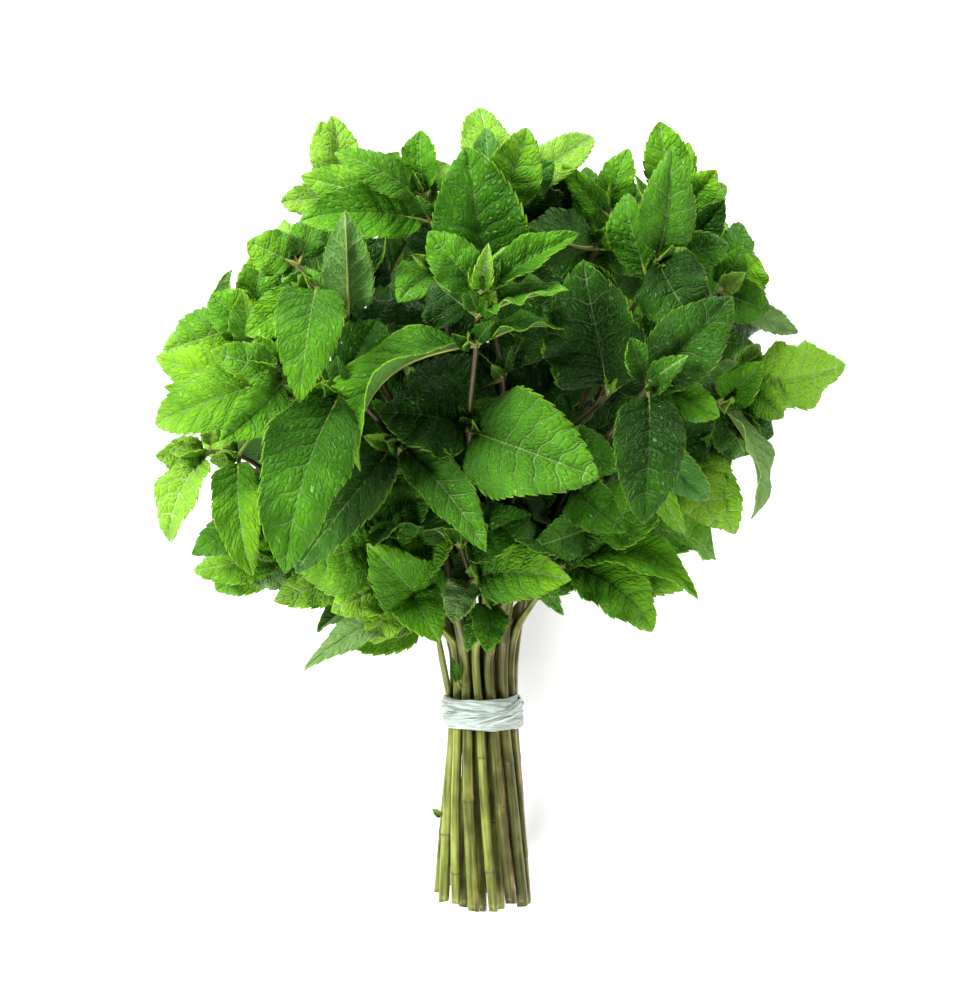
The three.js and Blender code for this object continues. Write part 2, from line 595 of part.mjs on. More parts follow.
// Leaves are placed one after another, those that show first; each is bent until it is clear of
// the stems, the tie and the leaves before it, and left out if it can't be.
function growLeaves(leaves, stems, tie) {
  const placed = [];
  const order = [...leaves.filter((l) => l.shown), ...leaves.filter((l) => !l.shown)];
  for (const wanted of order) {
    for (let count = 0; count < TRIES; count += 1) {
      const leaf = nudged(wanted, count);
      const whole = boxed(bladeSolid(leaf, true));
      const blade = boxed(bladeSolid(leaf, false));
      const clear = apart(whole, tie, GAP)
        && stems.every((stem, k) => (k === leaf.sprig ? apart(blade, stem, 0.1) : apart(whole, stem, GAP)))
        && placed.every((other) => (other.leaf.sprig === leaf.sprig
          ? apart(blade, other.blade, 0.1)
          : apart(whole, other.whole, GAP)));
      if (clear) {
        placed.push({ leaf, whole, blade, count });
        break;
      }
    }
  }
  return placed;
}

// ---------------------------------------------------------------- the tie

// A point of the winding: out from the bundle's middle by a radius, along it by a distance.
function tiePoint(radius, angle, lift) {
  return bundlePoint(TIE_Y, radius, angle).add(
    vec(0, Math.cos(AXIS_ANGLE), Math.sin(AXIS_ANGLE)).multiplyScalar(lift));
}

// The wound band, with a bulge for each turn of the twine, and one strand laid slantwise over it.
function tieSolid(inner) {
  const half = TIE.width / 2;
  const section = [[0, -half]];
  for (let k = 0; k < TIE.lobes; k += 1) {
    const low = -half + (TIE.width * (k + 0.5)) / TIE.lobes;
    section.push([TIE.wall + TIE.lobeDepth, low]);
    section.push([TIE.wall, low + TIE.width / TIE.lobes / 2]);
  }
  section[section.length - 1] = [0, half];
  const rings = Array.from({ length: TIE.segments }, (_, s) => {
    const angle = (2 * Math.PI * s) / TIE.segments;
    const lift = TIE.tilt * inner * Math.cos(angle + 0.4);
    return section.map(([out, along]) => tiePoint(inner + out, angle, along + lift));
  });
  const strand = Array.from({ length: STRAND.steps }, (_, s) => {
    const part = s / (STRAND.steps - 1);
    const angle = 0.2 + 1.9 * part;
    const middle = inner + TIE.wall + 0.25 * Math.sin(Math.PI * part);
    const lift = half * 0.75 - half * 1.45 * part;
    const [w, t] = [STRAND.width / 2, STRAND.thick];
    return [[0, -w], [t, -w * 0.6], [t, w * 0.6], [0, w]].map(([out, along]) => (
      tiePoint(middle + out, angle, lift + along)));
  });
  return loft(rings, true).add(loft(strand));
}

// ---------------------------------------------------------------- the bunch

const green = new THREE.MeshStandardMaterial({ color: 0x3f7d1e, roughness: 0.55, metalness: 0 });
const twine = new THREE.MeshStandardMaterial({ color: 0xe6ecea, roughness: 0.35, metalness: 0 });

function meshOf(solid, material, name) {
  const { vertProperties, triVerts } = solid.getMesh();
  const geometry = new THREE.BufferGeometry();
  geometry.setAttribute('position', new THREE.BufferAttribute(vertProperties, 3));
  geometry.setIndex(new THREE.BufferAttribute(triVerts, 1));
  const mesh = new THREE.Mesh(geometry, material.clone());
  mesh.name = name;
  return mesh;
}

const slots = giveSlots(SPRIGS);
const courses = SPRIGS.map((sprig, index) => stemCourse(sprig, slots[index], index));
const stems = courses.map((course) => boxed(stemSolid(course)));
const outermost = RINGS[RINGS.length - 1].radius + STEM.tie + GAP + TIE.ease;
const tie = boxed(tieSolid(outermost));
const leaves = SPRIGS.flatMap((sprig, index) => nodeLeaves(sprig, index, courses[index]));
const grown = growLeaves(leaves, stems, tie);

const bunch = new THREE.Group();
SPRIGS.forEach((_, index) => {
  const own = grown.filter((g) => g.leaf.sprig === index).map((g) => g.whole.solid);
  const name = `sprig_${String(index + 1).padStart(2, '0')}`;
  bunch.add(meshOf(wasm.Manifold.union([stems[index].solid, ...own]), green, name));
});
bunch.add(meshOf(tie.solid, twine, 'tie'));

// The origin is under the middle of the whole bunch, on the surface that it lies on.
const box = new THREE.Box3().setFromObject(bunch);
const middle = box.getCenter(vec());
bunch.position.set(-middle.x, -middle.y, 0);

export default bunch;
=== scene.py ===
"""A tied bunch of spearmint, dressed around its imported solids.

Every leafy stem of the frame is replaced by a fine one that grows by the same rules: a square stem
with its joints, and toothed, quilted leaves on it. The band round the stems becomes wound film.
"""

import logging
import math
from collections.abc import Iterator
from contextlib import contextmanager
from dataclasses import dataclass
from enum import Enum

import bpy
import numpy as np
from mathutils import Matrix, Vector
from mathutils.kdtree import KDTree

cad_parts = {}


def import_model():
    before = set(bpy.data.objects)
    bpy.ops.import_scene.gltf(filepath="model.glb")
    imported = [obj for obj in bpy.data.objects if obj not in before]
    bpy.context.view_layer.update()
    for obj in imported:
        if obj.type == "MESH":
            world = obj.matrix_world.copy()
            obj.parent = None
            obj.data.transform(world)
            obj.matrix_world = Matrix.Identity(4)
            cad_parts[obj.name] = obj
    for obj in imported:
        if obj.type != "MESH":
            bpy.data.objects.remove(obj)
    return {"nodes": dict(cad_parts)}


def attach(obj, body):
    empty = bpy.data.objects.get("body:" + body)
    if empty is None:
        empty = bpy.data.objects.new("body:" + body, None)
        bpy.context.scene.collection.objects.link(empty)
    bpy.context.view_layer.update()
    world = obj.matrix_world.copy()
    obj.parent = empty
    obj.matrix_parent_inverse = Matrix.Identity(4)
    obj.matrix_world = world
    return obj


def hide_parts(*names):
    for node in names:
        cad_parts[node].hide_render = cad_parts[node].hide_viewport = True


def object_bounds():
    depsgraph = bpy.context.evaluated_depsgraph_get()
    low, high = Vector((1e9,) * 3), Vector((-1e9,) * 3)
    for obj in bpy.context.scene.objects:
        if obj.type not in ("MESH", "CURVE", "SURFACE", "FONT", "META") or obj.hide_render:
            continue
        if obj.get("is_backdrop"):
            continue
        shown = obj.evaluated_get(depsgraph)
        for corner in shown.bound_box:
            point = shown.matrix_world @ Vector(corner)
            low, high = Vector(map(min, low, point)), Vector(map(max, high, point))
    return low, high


LOG = logging.getLogger("bunch")
MM = 0.001

# ---------------------------------------------------------------- how the bunch is grown
# Millimetres, in the growers' frame: X from the bundle's middle, Y from the cut ends, Z up.


class Tone(Enum):
    """The kinds of leaf colour, each from 0 to 1: how light, how blue-green, how pale and grey.

    How light is partly the leaf's own green and partly painted light and shade: dark for leaves in
    the shade of others, lime for leaves that light shines through.
    """

    DARK = (0.06, 0.0, 0.0)
    MID = (0.3, 0.0, 0.0)
    FRESH = (0.44, 0.0, 0.0)
    BRIGHT = (0.57, 0.0, 0.0)
    LIME = (0.92, 0.0, 0.0)
    BLUE = (0.4, 0.6, 0.0)
    PALE = (0.5, 0.15, 0.85)

    def __init__(self, light: float, blue: float, pale: float) -> None:
        """Names the three shares.

        Args:
            light: from 0 for the darkest green to 1 for lime.
            blue: the share of blue-green.
            pale: the share of grey-green.
        """
        self.light = light
        self.blue = blue
        self.pale = pale


DARK, MID, FRESH, BRIGHT, LIME, BLUE, PALE = Tone


@dataclass(frozen=True)
class Node:
    """A joint of a stem with what grows there.

    A leaf is (x, y, z of its tip, width, roll, bow, fold, tone), with roll and fold in degrees; a
    pair is (length, width, turn) for two opposite leaves by rule, and a crown is two such pairs.
    Inner leaves lie behind the others and aren't in the solids.
    """

    at: tuple
    leaves: tuple = ()
    fill: tuple = ()
    pair: tuple = ()
    crown: tuple = ()
    inner: tuple = ()


@dataclass(frozen=True)
class Shoot:
    """A thin side stem near the tie: the points it runs through and its radius."""

    points: tuple
    radius: float


SPRIGS = (
    (  # front, middle
        Node((-4, 142, 86),
             leaves=((34, 128, 112, 31, -8, 0.16, 8, FRESH), (-32, 147, 80, 25, 12, 0.1, 18, DARK))),
        Node((-2, 167, 103),
             leaves=((-39, 130, 104, 24, 68, 0.24, 8, BRIGHT), (24, 172, 103, 15, -60, 0.12, 14, BRIGHT))),
        Node((-1.5, 175.5, 109),
             leaves=((25, 182, 118, 16, -58, 0.08, 12, BRIGHT), (-15, 187, 101, 19, -8, 0.1, 14, DARK))),
        Node((-0.6, 182, 113),
             leaves=((-16, 200, 117, 14, 4, 0.1, 14, BRIGHT),
                     (28, 199, 114, 12, -24, 0.06, 22, BRIGHT), (1.5, 196, 121, 7, 0, 0.05, 20, LIME),
                     (6, 194, 116, 7, -10, 0.05, 20, LIME))),
    ),
    (  # right, front
        Node((26, 126, 78), leaves=((42, 112, 96, 14, 0, 0.1, 12, MID),)),
        Node((40, 144, 95),
             leaves=((68, 120, 90, 13, 8, 0.12, 14, BLUE), (60, 110, 80, 8, 20, 0.05, 12, BRIGHT))),
        Node((48.6, 155, 106),
             leaves=((73, 181, 114, 19, 6, 0.12, 16, DARK), (47, 115, 113, 20, 0, 0.16, 14, DARK),
                     (71, 145, 113, 13, 0, 0.1, 14, BRIGHT), (57, 166, 113, 7, 0, 0.05, 14, MID),
                     (43, 169, 110, 9, 10, 0.05, 14, MID))),
    ),
    (  # left, front, bent out to the side
        Node((-26, 138, 87),
             leaves=((3, 109, 108, 15, -18, 0.14, 24, MID), (-57, 99, 97, 17, 10, 0.16, 14, DARK))),
        Node((-41, 154, 95),
             leaves=((-61, 100, 109, 23, 4, 0.16, 10, MID), (-32, 176, 90, 17, 0, 0.1, 12, MID))),
        Node((-58, 158, 101),
             leaves=((-80, 165, 106, 11, 14, 0.08, 14, BRIGHT),
                     (-99, 143, 95, 18, 8, 0.14, 12, BRIGHT),
                     (-77, 139, 107, 13, -14, 0.14, 14, BRIGHT), (-66, 169, 104, 7, 0, 0.05, 16, BRIGHT))),
    ),
    (  # left, upper front
        Node((-22, 140, 72),
             fill=((-56, 143, 84, 22, 0, 0.1, 12, MID), (-4, 166, 76, 20, 0, 0.1, 12, DARK)),
             inner=((-44, 182, 60, 17, 0, 0.1, 10, DARK),)),
        Node((-40, 173, 86),
             leaves=((-40, 206, 99, 15, 172, -0.1, 16, FRESH), (-19, 170, 95, 17, 0, 0.1, 14, DARK)),
             inner=((-60, 192, 80, 13, 0, 0.1, 10, BRIGHT),)),
        Node((-49, 184, 90),
             leaves=((-54, 149, 115, 18, 2, 0.3, -8, BRIGHT), (-71, 170, 90, 12, 0, 0.12, 10, BRIGHT))),
        Node((-55, 191, 83),
             leaves=((-70, 198, 84, 13, 6, 0.1, 8, BRIGHT), (-50, 207, 70, 11, 0, 0.08, 12, BRIGHT),
                     (-63, 204, 60, 8, 0, 0.05, 12, LIME), (-64.5, 209, 58, 6, 60, 0.08, 12, MID))),
    ),
    (  # top, middle
        Node((6, 158, 68),
             fill=((25, 192, 75, 24, 0, 0.1, 12, DARK), (-20, 146, 64, 22, 0, 0.1, 12, DARK))),
        Node((1, 184, 86),
             leaves=((-5, 226, 98, 25, 4, 0.12, 20, MID), (29, 176, 84, 20, 0, 0.1, 12, DARK))),
        Node((3, 205, 87),
             leaves=((13.5, 232, 92, 16, 8, 0.08, 14, BRIGHT), (0.5, 233, 79, 10, -8, 0.06, 12, BLUE))),
        Node((3, 211, 83),
             leaves=((-1, 239, 66, 14, 0, 0.08, 8, LIME), (21, 222, 84, 14, 0, 0.05, 14, MID),
                     (32.5, 230, 66, 14, 0, 0.08, 12, LIME)),
             fill=((26, 208, 72, 19, 0, 0.1, 12, BRIGHT),),
             inner=((27, 203, 57, 16, 0, 0.1, 10, DARK),)),
    ),
    (  # upper right
        Node((24, 138, 66), pair=(42, 22, 40)),
        Node((41, 172, 82),
             fill=((70, 162, 84, 20, 0, 0.1, 12, DARK), (24, 193, 82, 20, 0, 0.1, 12, DARK))),
        Node((49, 187, 90),
             leaves=((41, 212, 93, 13, -20, 0.1, 14, FRESH), (67, 181, 96, 14, 10, 0.1, 14, DARK))),
        Node((51.6, 193, 94),
             leaves=((57, 225, 99, 17, -6, 0.12, 18, MID), (65, 169, 109, 22, 2, 0.18, 12, DARK),
                     (72, 195, 98, 11, 6, 0.1, 14, MID), (45, 218, 90, 6, 60, 0.05, 14, MID))),
    ),
    (  # right of the middle, with the widest leaf
        Node((14, 119, 60),
             fill=((15, 96, 78, 20, 0, 0.12, 12, MID), (32, 140, 70, 22, 0, 0.1, 12, DARK)),
             inner=((20, 104, 44, 15, 0, 0.1, 10, DARK), (1, 112, 46, 15, 0, 0.1, 10, DARK))),
        Node((24, 140, 78),
             leaves=((41, 132, 93, 13, 6, 0.1, 12, MID), (8, 123, 90, 15, 0, 0.1, 14, DARK)),
             inner=((29, 152, 64, 11, 0, 0.1, 10, DARK),)),
        Node((37, 153, 86),
             leaves=((29, 193, 105, 29, -6, 0.1, 8, DARK), (37, 120, 88, 19, 6, 0.12, 12, DARK)),
             inner=((52, 160, 76, 11, 0, 0.1, 10, DARK),)),
        Node((42, 164, 90),
             leaves=((53, 173, 98, 9, 0, 0.08, 12, MID), (34, 178, 90, 9, 0, 0.08, 12, MID))),
    ),
    (  # top left
        Node((-9, 160, 68),
             fill=((-36, 172, 76, 24, 0, 0.1, 12, DARK), (13, 183, 68, 20, 0, 0.1, 12, DARK)),
             inner=((-36, 186, 60, 16, 0, 0.1, 10, DARK),)),
        Node((-13, 188, 80),
             leaves=((-25, 180, 97, 16, 20, 0.14, 12, BRIGHT), (-12, 216, 70, 12, 0, 0.1, 12, LIME)),
             inner=((-20, 216, 60, 13, 0, 0.1, 10, MID),)),
        Node((-15, 204, 82),
             leaves=((-55, 205, 85, 16, 10, 0.12, 10, BRIGHT), (3, 208, 64, 13, 0, 0.1, 12, MID)),
             inner=((-22, 221, 68, 12, 0, 0.1, 10, BRIGHT),)),
        Node((-17, 211, 83),
             leaves=((-54, 218, 76, 14, -6, 0.12, 12, BRIGHT),
                     (-46, 222.5, 80, 12, 8, 0.12, 10, BRIGHT),
                     (-18, 232, 85, 11, -10, 0.1, 8, BRIGHT), (-11, 222, 72, 8, 0, 0.05, 12, LIME))),
    ),
    (  # lower left, front
        Node((-12.4, 82.5, 42), leaves=((-53, 70, 56, 12, 34, 0.28, 16, PALE),),
             inner=((-17, 101, 34, 13, 0, 0.1, 10, DARK),)),
        Node((-17, 88, 46), leaves=((-34, 107, 87, 21, -6, 0.12, 10, BRIGHT),),
             inner=((-43, 80, 48, 18, 0, 0.12, 10, LIME),)),
        Node((-24, 99, 56),
             leaves=((-44, 91, 80, 15, 0, 0.14, 8, LIME), (-8, 117, 80, 14, 0, 0.1, 12, BRIGHT)),
             inner=((-13, 79, 70, 14, 0, 0.14, 10, BRIGHT), (-33, 78, 62, 14, 0, 0.12, 10, LIME))),
        Node((-32, 110, 66),
             leaves=((-56, 103, 89, 26, 2, 0.14, 8, BRIGHT), (-14, 127, 90, 15, 0, 0.1, 14, MID))),
        Node((-39, 119, 72),
             leaves=((-50, 131, 86, 13, 0, 0.1, 12, MID), (-32, 139, 84, 12, 0, 0.1, 12, BRIGHT))),
    ),
    (  # lower middle, front
        Node((2, 91, 57),
             leaves=((1, 76, 66, 11, -10, 0.18, 10, MID), (-5, 76, 60, 6, 20, 0.05, 12, MID)),
             inner=((-9, 107, 36, 15, 0, 0.1, 10, DARK), (9, 101, 36, 13, 0, 0.1, 10, DARK))),
        Node((-3, 98, 66),
             leaves=((26, 98, 89, 16, -10, 0.14, 8, BRIGHT), (-9, 84, 74, 10, 20, 0.2, 12, PALE))),
        Node((-7, 108, 75), leaves=((14, 117, 88, 16, 0, 0.1, 12, MID),),
             fill=((-25, 124, 86, 17, 0, 0.1, 12, MID),)),
    ),
    (  # lower right
        Node((16, 92, 51), leaves=((32, 105, 44, 12, 20, 0.1, 12, BRIGHT),)),
        Node((24, 102, 58),
             leaves=((52, 82, 63, 16, -22, 0.18, 10, BRIGHT), (65, 91.5, 61, 14, -36, 0.2, 18, BRIGHT)),
             inner=((64, 96, 57, 15, 0, 0.14, 10, BRIGHT),)),
        Node((31, 113, 66),
             leaves=((14, 107, 86, 12, 0, 0.14, 10, MID), (54, 122, 72, 18, 0, 0.1, 12, BRIGHT))),
    ),
    (  # left
        Node((-33, 126, 53),
             fill=((-66, 138, 56, 23, 0, 0.1, 12, MID), (-44, 162, 62, 24, 0, 0.1, 12, MID))),
        Node((-56, 152, 56),
             leaves=((-97, 164.5, 48, 20, 0, 0.1, 8, BRIGHT), (-94, 154, 65, 13, 10, 0.12, 12, BRIGHT)),
             inner=((-64, 172, 54, 12, 0, 0.1, 10, DARK),)),
        Node((-68, 169, 60),
             leaves=((-81, 183, 57, 15, 10, 0.08, 12, BRIGHT), (-70, 184, 73, 12, -20, 0.08, 14, BRIGHT))),
        Node((-69.5, 175, 60),
             leaves=((-66, 197, 62, 12, 0, 0.1, 14, BRIGHT), (-79, 182, 46, 9, 0, 0.08, 12, LIME)),
             inner=((-97, 166, 50, 16, 0, 0.1, 10, BRIGHT),)),
    ),
    (  # left, low
        Node((-30, 108, 48), pair=(32, 16, 0)),
        Node((-56, 123, 52),
             leaves=((-88, 105, 48, 13, 6, 0.14, 10, MID), (-69, 134, 44, 9, 0, 0.08, 12, MID)),
             inner=((-71, 130, 48, 10, 0, 0.1, 10, DARK),)),
        Node((-73, 135, 60),
             leaves=((-69, 98, 73, 14, 10, 0.18, 14, BRIGHT), (-58, 149, 78, 15, 165, -0.08, 12, DARK)),
             inner=((-85, 141, 50, 9, 0, 0.1, 10, LIME),)),
        Node((-82, 136, 62),
             leaves=((-98, 135, 64, 9, -24, 0.06, 14, LIME), (-94.5, 108.5, 67, 15, 25, 0.17, 8, LIME),
                     (-82, 147, 66, 6, 0, 0.05, 14, LIME))),
    ),
    (  # right
        Node((44, 138, 54), pair=(40, 22, 60)),
        Node((64, 171, 62),
             leaves=((78, 168, 62, 12, 0, 0.08, 10, DARK), (79, 199, 57, 10, 0, 0.1, 10, MID))),
        Node((71, 184, 66),
             leaves=((83, 194, 63, 14, 8, 0.1, 10, BRIGHT), (85, 178, 67, 13, 0, 0.1, 12, MID),
                     (94.2, 172, 54, 8, 0, 0.1, 14, PALE), (77, 197, 74, 8, 0, 0.08, 12, MID)),
             inner=((83, 171, 46, 12, 0, 0.1, 10, DARK), (78, 205, 54, 11, 0, 0.1, 10, MID))),
    ),
    (  # right, low
        Node((38, 114, 36), pair=(40, 21, 20)),
        Node((61, 138, 41),
             leaves=((71, 113, 43, 16, 6, 0.12, 8, LIME), (50, 114, 36, 12, 0, 0.1, 10, LIME)),
             inner=((73, 158, 40, 12, 0, 0.1, 10, DARK), (76.5, 111, 40, 15, 0, 0.12, 10, LIME),
                     (75, 133, 36, 13, 0, 0.1, 10, MID))),
        Node((71, 151, 50),
             leaves=((82.5, 115.3, 52, 12, -58, 0.18, 14, PALE), (84, 163, 62, 11, 0, 0.1, 12, BRIGHT)),
             inner=((80, 134, 40, 13, 0, 0.1, 10, MID), (88, 141, 44, 12, 0, 0.1, 10, DARK))),
        Node((77, 158, 48),
             leaves=((108.6, 163, 42, 20, 38, 0.15, 6, LIME), (90, 146, 47, 11, 10, 0.08, 12, BRIGHT))),
    ),
    (  # top right, back
        Node((12, 146, 54),
             fill=((34, 172, 66, 24, 0, 0.1, 12, DARK), (-10, 168, 52, 22, 0, 0.1, 12, DARK))),
        Node((24, 176, 60), pair=(40, 22, 10), inner=((40, 212, 54, 14, 0, 0.1, 10, MID),)),
        Node((34, 197, 66),
             leaves=((12.5, 203, 89, 18, 168, -0.1, 12, DARK), (49, 193, 62, 13, 0, 0.1, 12, MID)),
             fill=((17, 216, 60, 17, 0, 0.1, 12, BRIGHT),),
             inner=((31, 222, 54, 11, 0, 0.1, 10, BRIGHT),)),
        Node((38, 206, 64),
             leaves=((43.5, 227, 66, 11, -14, 0.1, 12, BRIGHT), (24, 223, 71, 9, 0, 0.08, 14, BRIGHT)),
             inner=((12, 214, 52, 17, 0, 0.12, 10, DARK), (26, 183, 44, 16, 0, 0.1, 10, DARK))),
    ),
    (  # right, top back
        Node((36, 156, 50), pair=(40, 22, 40), inner=((52, 196, 52, 15, 0, 0.1, 10, DARK),)),
        Node((56, 195, 57),
             leaves=((72, 211, 74, 14, 8, 0.08, 12, DARK), (75, 205, 50, 10, 0, 0.1, 10, LIME)),
             inner=((46, 217, 50, 12, 0, 0.1, 10, MID),)),
        Node((59, 209, 57),
             leaves=((53, 235.5, 58, 13, 0, 0.08, 8, BRIGHT), (61.5, 229, 51, 8, 0, 0.06, 10, BRIGHT),
                     (70, 220, 64, 11, 14, 0.08, 12, BRIGHT), (73, 217, 54, 9, 0, 0.08, 12, BRIGHT))),
    ),
    (  # left, top back
        Node((-20, 148, 48), pair=(36, 18, 90)),
        Node((-32, 180, 50), pair=(40, 22, 0),
             inner=((-50, 206, 48, 14, 0, 0.1, 10, MID), (-36, 203, 56, 12, 0, 0.1, 10, DARK))),
        Node((-40, 204, 51),
             leaves=((-25, 227, 46, 9, 0, 0.08, 10, LIME), (-30, 218, 66, 12, 0, 0.1, 10, BRIGHT))),
        Node((-43, 213, 50),
             leaves=((-45, 238, 51, 12, 14, 0.06, 18, LIME), (-61.5, 211.5, 44, 9, 0, 0.08, 8, LIME)),
             inner=((-49, 235.5, 47, 11, 10, 0.06, 12, LIME),)),
    ),
    (  # lower left, back
        Node((-20, 92, 29), pair=(28, 14, 40)),
        Node((-41, 99, 38),
             leaves=((-63, 91, 47, 12, 6, 0.12, 10, LIME), (-50, 118, 30, 14, 0, 0.1, 12, DARK)),
             inner=((-61, 105, 36, 13, 0, 0.1, 10, MID),)),
        Node((-58, 106, 40),
             leaves=((-70, 96, 40, 13, 0, 0.1, 8, PALE), (-82, 97.5, 34, 13, 0, 0.12, 10, BRIGHT),
                     (-74, 119, 34, 10, 0, 0.1, 12, MID)),
             inner=((-88, 100, 38, 12, 0, 0.1, 10, BRIGHT),)),
    ),
    (  # underneath, left
        Node((-20, 114, 19), pair=(44, 25, 0)),
        Node((-40, 138, 13), pair=(44, 25, 60)),
        Node((-54, 158, 12), pair=(40, 24, 0)),
        Node((-62, 171, 18), crown=(30, 16, 80)),
    ),
    (  # underneath, middle
        Node((-3, 118, 17), pair=(44, 25, 50)),
        Node((-4, 148, 11), pair=(46, 26, 0)),
        Node((-5, 176, 11), pair=(42, 24, 50)),
        Node((-7, 196, 18), crown=(30, 16, 10)),
    ),
    (  # underneath, right
        Node((20, 116, 19), pair=(44, 25, 10)),
        Node((36, 142, 13), pair=(44, 25, 55)),
        Node((46, 164, 12), pair=(40, 24, 0)),
        Node((54, 182, 18), crown=(30, 16, 85)),
    ),
)

AXIS_RISE = 0.26                 # how fast the bundle's middle climbs toward the head
AXIS_FOOT = 14.5                 # height of the bundle's middle at the cut ends
AXIS_ANGLE = math.atan(AXIS_RISE)
TIE_Y = 57.5
NECK_Y = 80                      # the stems run side by side up to here
NECK_POINT = 3                   # place of the neck in a stem's list of points
NECK_REACH = 12                  # a stem's lean is measured from this far before the neck
TWIST = 0.45                     # turn of the bundle between its ends and its neck, radians
LOW_TURN = 0.6                   # shares of the twist that are left halfway to the tie and at it
TIE_TURN = 0.25
RINGS = ((1, 0), (7, 4.75), (14, 9.15))      # how many stems lie how far from the middle, at the tie
SPREAD = {"foot": 1.46, "tie": 1.0, "neck": 1.1}
STEM = {"foot": 2.2, "low": 2.08, "tie": 1.85, "neck": 1.85, "tip": 1.25}    # a stem's radius
CUT_FIRST = -2.2                 # y of the longest stem's cut end; the others are shorter
CUT_STEP = 0.66                  # by steps of this
CUT_CYCLE = (5, 7)               # stem n is shorter by 5 n modulo 7 steps
HANG = 0.3                       # how far the leaves given by rule lean outward
SPLAY = {"pair": 62, "crown": 48, "bud": 26}     # degrees between stem and leaves given by rule
# How leaves that aren't listed differ, each as a middle and the most that a leaf strays from it.
RULE_LEAF = {"length": (1, 0.12), "width": (1, 0.1), "roll": (0, 20), "bow": (0.12, 0.06), "fold": (12, 8)}
RULE_STRAY = {"splay": 10, "turn": 0.25}       # in degrees, and radians about the stem
YOUNG_LEAF = {"length": (10.5, 2.5), "width": (0.52, 0.08), "roll": (0, 25), "fold": (20, 12)}
YOUNG_WAY = {"ahead": (0.75, 0.15), "aside": (0.5, 0.25)}    # along its stem and away from its twin
SPROUT_FORM = (0, 0.12, 16)      # their roll, bow and fold
BUD_SHARE = 0.6                  # size of a crown's inner pair, as a share of its outer pair's
TRIES = 90                       # how often a leaf may be bent clear of its neighbours
NUDGE = {"tip": (7, 7, 24), "roll": 38, "bow": 0.13, "shrink": 0.25}
FILL_NUDGE = {"tip": (16, 16, 34), "roll": 80, "bow": 0.2, "shrink": 0.45}
PETIOLE_LENGTH = 2.0
FLAT_WIDTH = 1.16                # a leaf laid flat is this much wider than its width in the list
RIGHTMOST_TIP = 108.6            # x of the leaf tip that reaches furthest to the right
TOPMOST_TIP = 239.0              # y of the leaf tip that reaches furthest from the cut ends
MATCH = 0.01                     # how near a solid's corner a leaf's tip has to be
UP = np.array((0.0, 0.0, 1.0))
WORD = 0xFFFFFFFF                # the random rows keep 32 bits
SHOOT_SPRIG = 8                  # index of the stem that the small growth near the tie belongs to
SHOOT_SEED = 40
SHOOT = Shoot(points=((-8.8, 50, 28.5), (-9.6, 57.5, 30.5), (-10.8, 65, 35), (-12.4, 73.5, 39.5),
                      (-13.8, 81.5, 42.5)), radius=1.45)
SPROUTS = (                      # tiny leaves on the stems: base, tip, width and tone
    ((-6.9, 64.8, 38.7), (-9.6, 74, 44), 2.4, MID),
    ((-6.6, 66, 39.2), (-8.2, 73.2, 44.6), 2, BRIGHT),
    ((-12, 24.4, 23.6), (-15.4, 27.5, 26), 2.2, BRIGHT),
)
LONG_STRETCH = 38.0              # a bare stretch of stem that has a hidden pair of leaves
INNER_PAIR = (32, 18, 60)        # their length, width and turn
INNER_PLACE = 0.45               # how far before the stretch's upper end they sit, as a share of it
YOUNG_LEAST = 10                 # the least width of a leaf with small ones at its foot
SWAY = 0.07                      # how far a side vein strays, as a share of the way to the next
SWAY_RATE = 0.9                  # radians of that sway for each millimetre
PATTERN_SHIFT = 40.0             # how far apart the patterns of two leaves can start
HEAD_Y = 165.0                   # the middle of the head
HEAD_REACH = 85.0                # from there to its rim
PAINTED_OUTER_LIGHT = 0.26               # painted light and shade: how much lighter green the leaves at the head's rim are, darker in its middle
OUTER_START = 0.6                # where they start to get lighter, as a share of that reach
GRAIN_RADIUS = 0.22              # how far from its middle a stem's grain is read


class Draws:
    """Numbers from -1 to 1, the same on every run for the same seed."""

    def __init__(self, seed: int) -> None:
        """Starts the row of numbers that belongs to a seed."""
        self.state = (seed * 7919 + 12345) & WORD

    def __call__(self) -> float:
        """The next number."""
        self.state = (self.state * 1664525 + 1013904223) & WORD
        return self.state / (WORD + 1) * 2 - 1

    def about(self, middle: float, most: float) -> float:
        """The next number, spread around a middle by no more than a most."""
        return middle + most * self()


@dataclass
class Leaf:
    """One leaf: where it starts and ends, its form and its colour."""

    base: np.ndarray
    tip: np.ndarray
    width: float
    facing: np.ndarray
    roll: float
    bow: float
    fold: float
    tone: Tone
    shown: bool = False
    seed: int = 0

    @property
    def length(self) -> float:
        """From the stem's middle to the tip."""
        return float(np.linalg.norm(self.tip - self.base))


def unit(vector: np.ndarray) -> np.ndarray:
    """The same direction with length 1."""
    return vector / np.linalg.norm(vector)


def turned(vector: np.ndarray, axis: np.ndarray, angle: float) -> np.ndarray:
    """Turns a vector about an axis.

    Args:
        vector: what is turned.
        axis: a unit vector.
        angle: in radians.

    Returns:
        The turned vector.
    """
    return (
        vector * math.cos(angle)
        + np.cross(axis, vector) * math.sin(angle)
        + axis * np.dot(axis, vector) * (1 - math.cos(angle))
    )


def axis_height(y: float) -> float:
    """Height of the bundle's middle at a distance from the cut ends."""
    return AXIS_FOOT + AXIS_RISE * y


def bundle_point(y: float, radius: float, angle: float) -> np.ndarray:
    """Finds a point of the bundle.

    Args:
        y: distance from the cut ends.
        radius: distance from the bundle's middle.
        angle: direction from the middle, square to the bundle's length.

    Returns:
        The point.
    """
    side = radius * math.sin(angle)
    return np.array((
        radius * math.cos(angle),
        y - side * math.sin(AXIS_ANGLE),
        axis_height(y) + side * math.cos(AXIS_ANGLE),
    ))


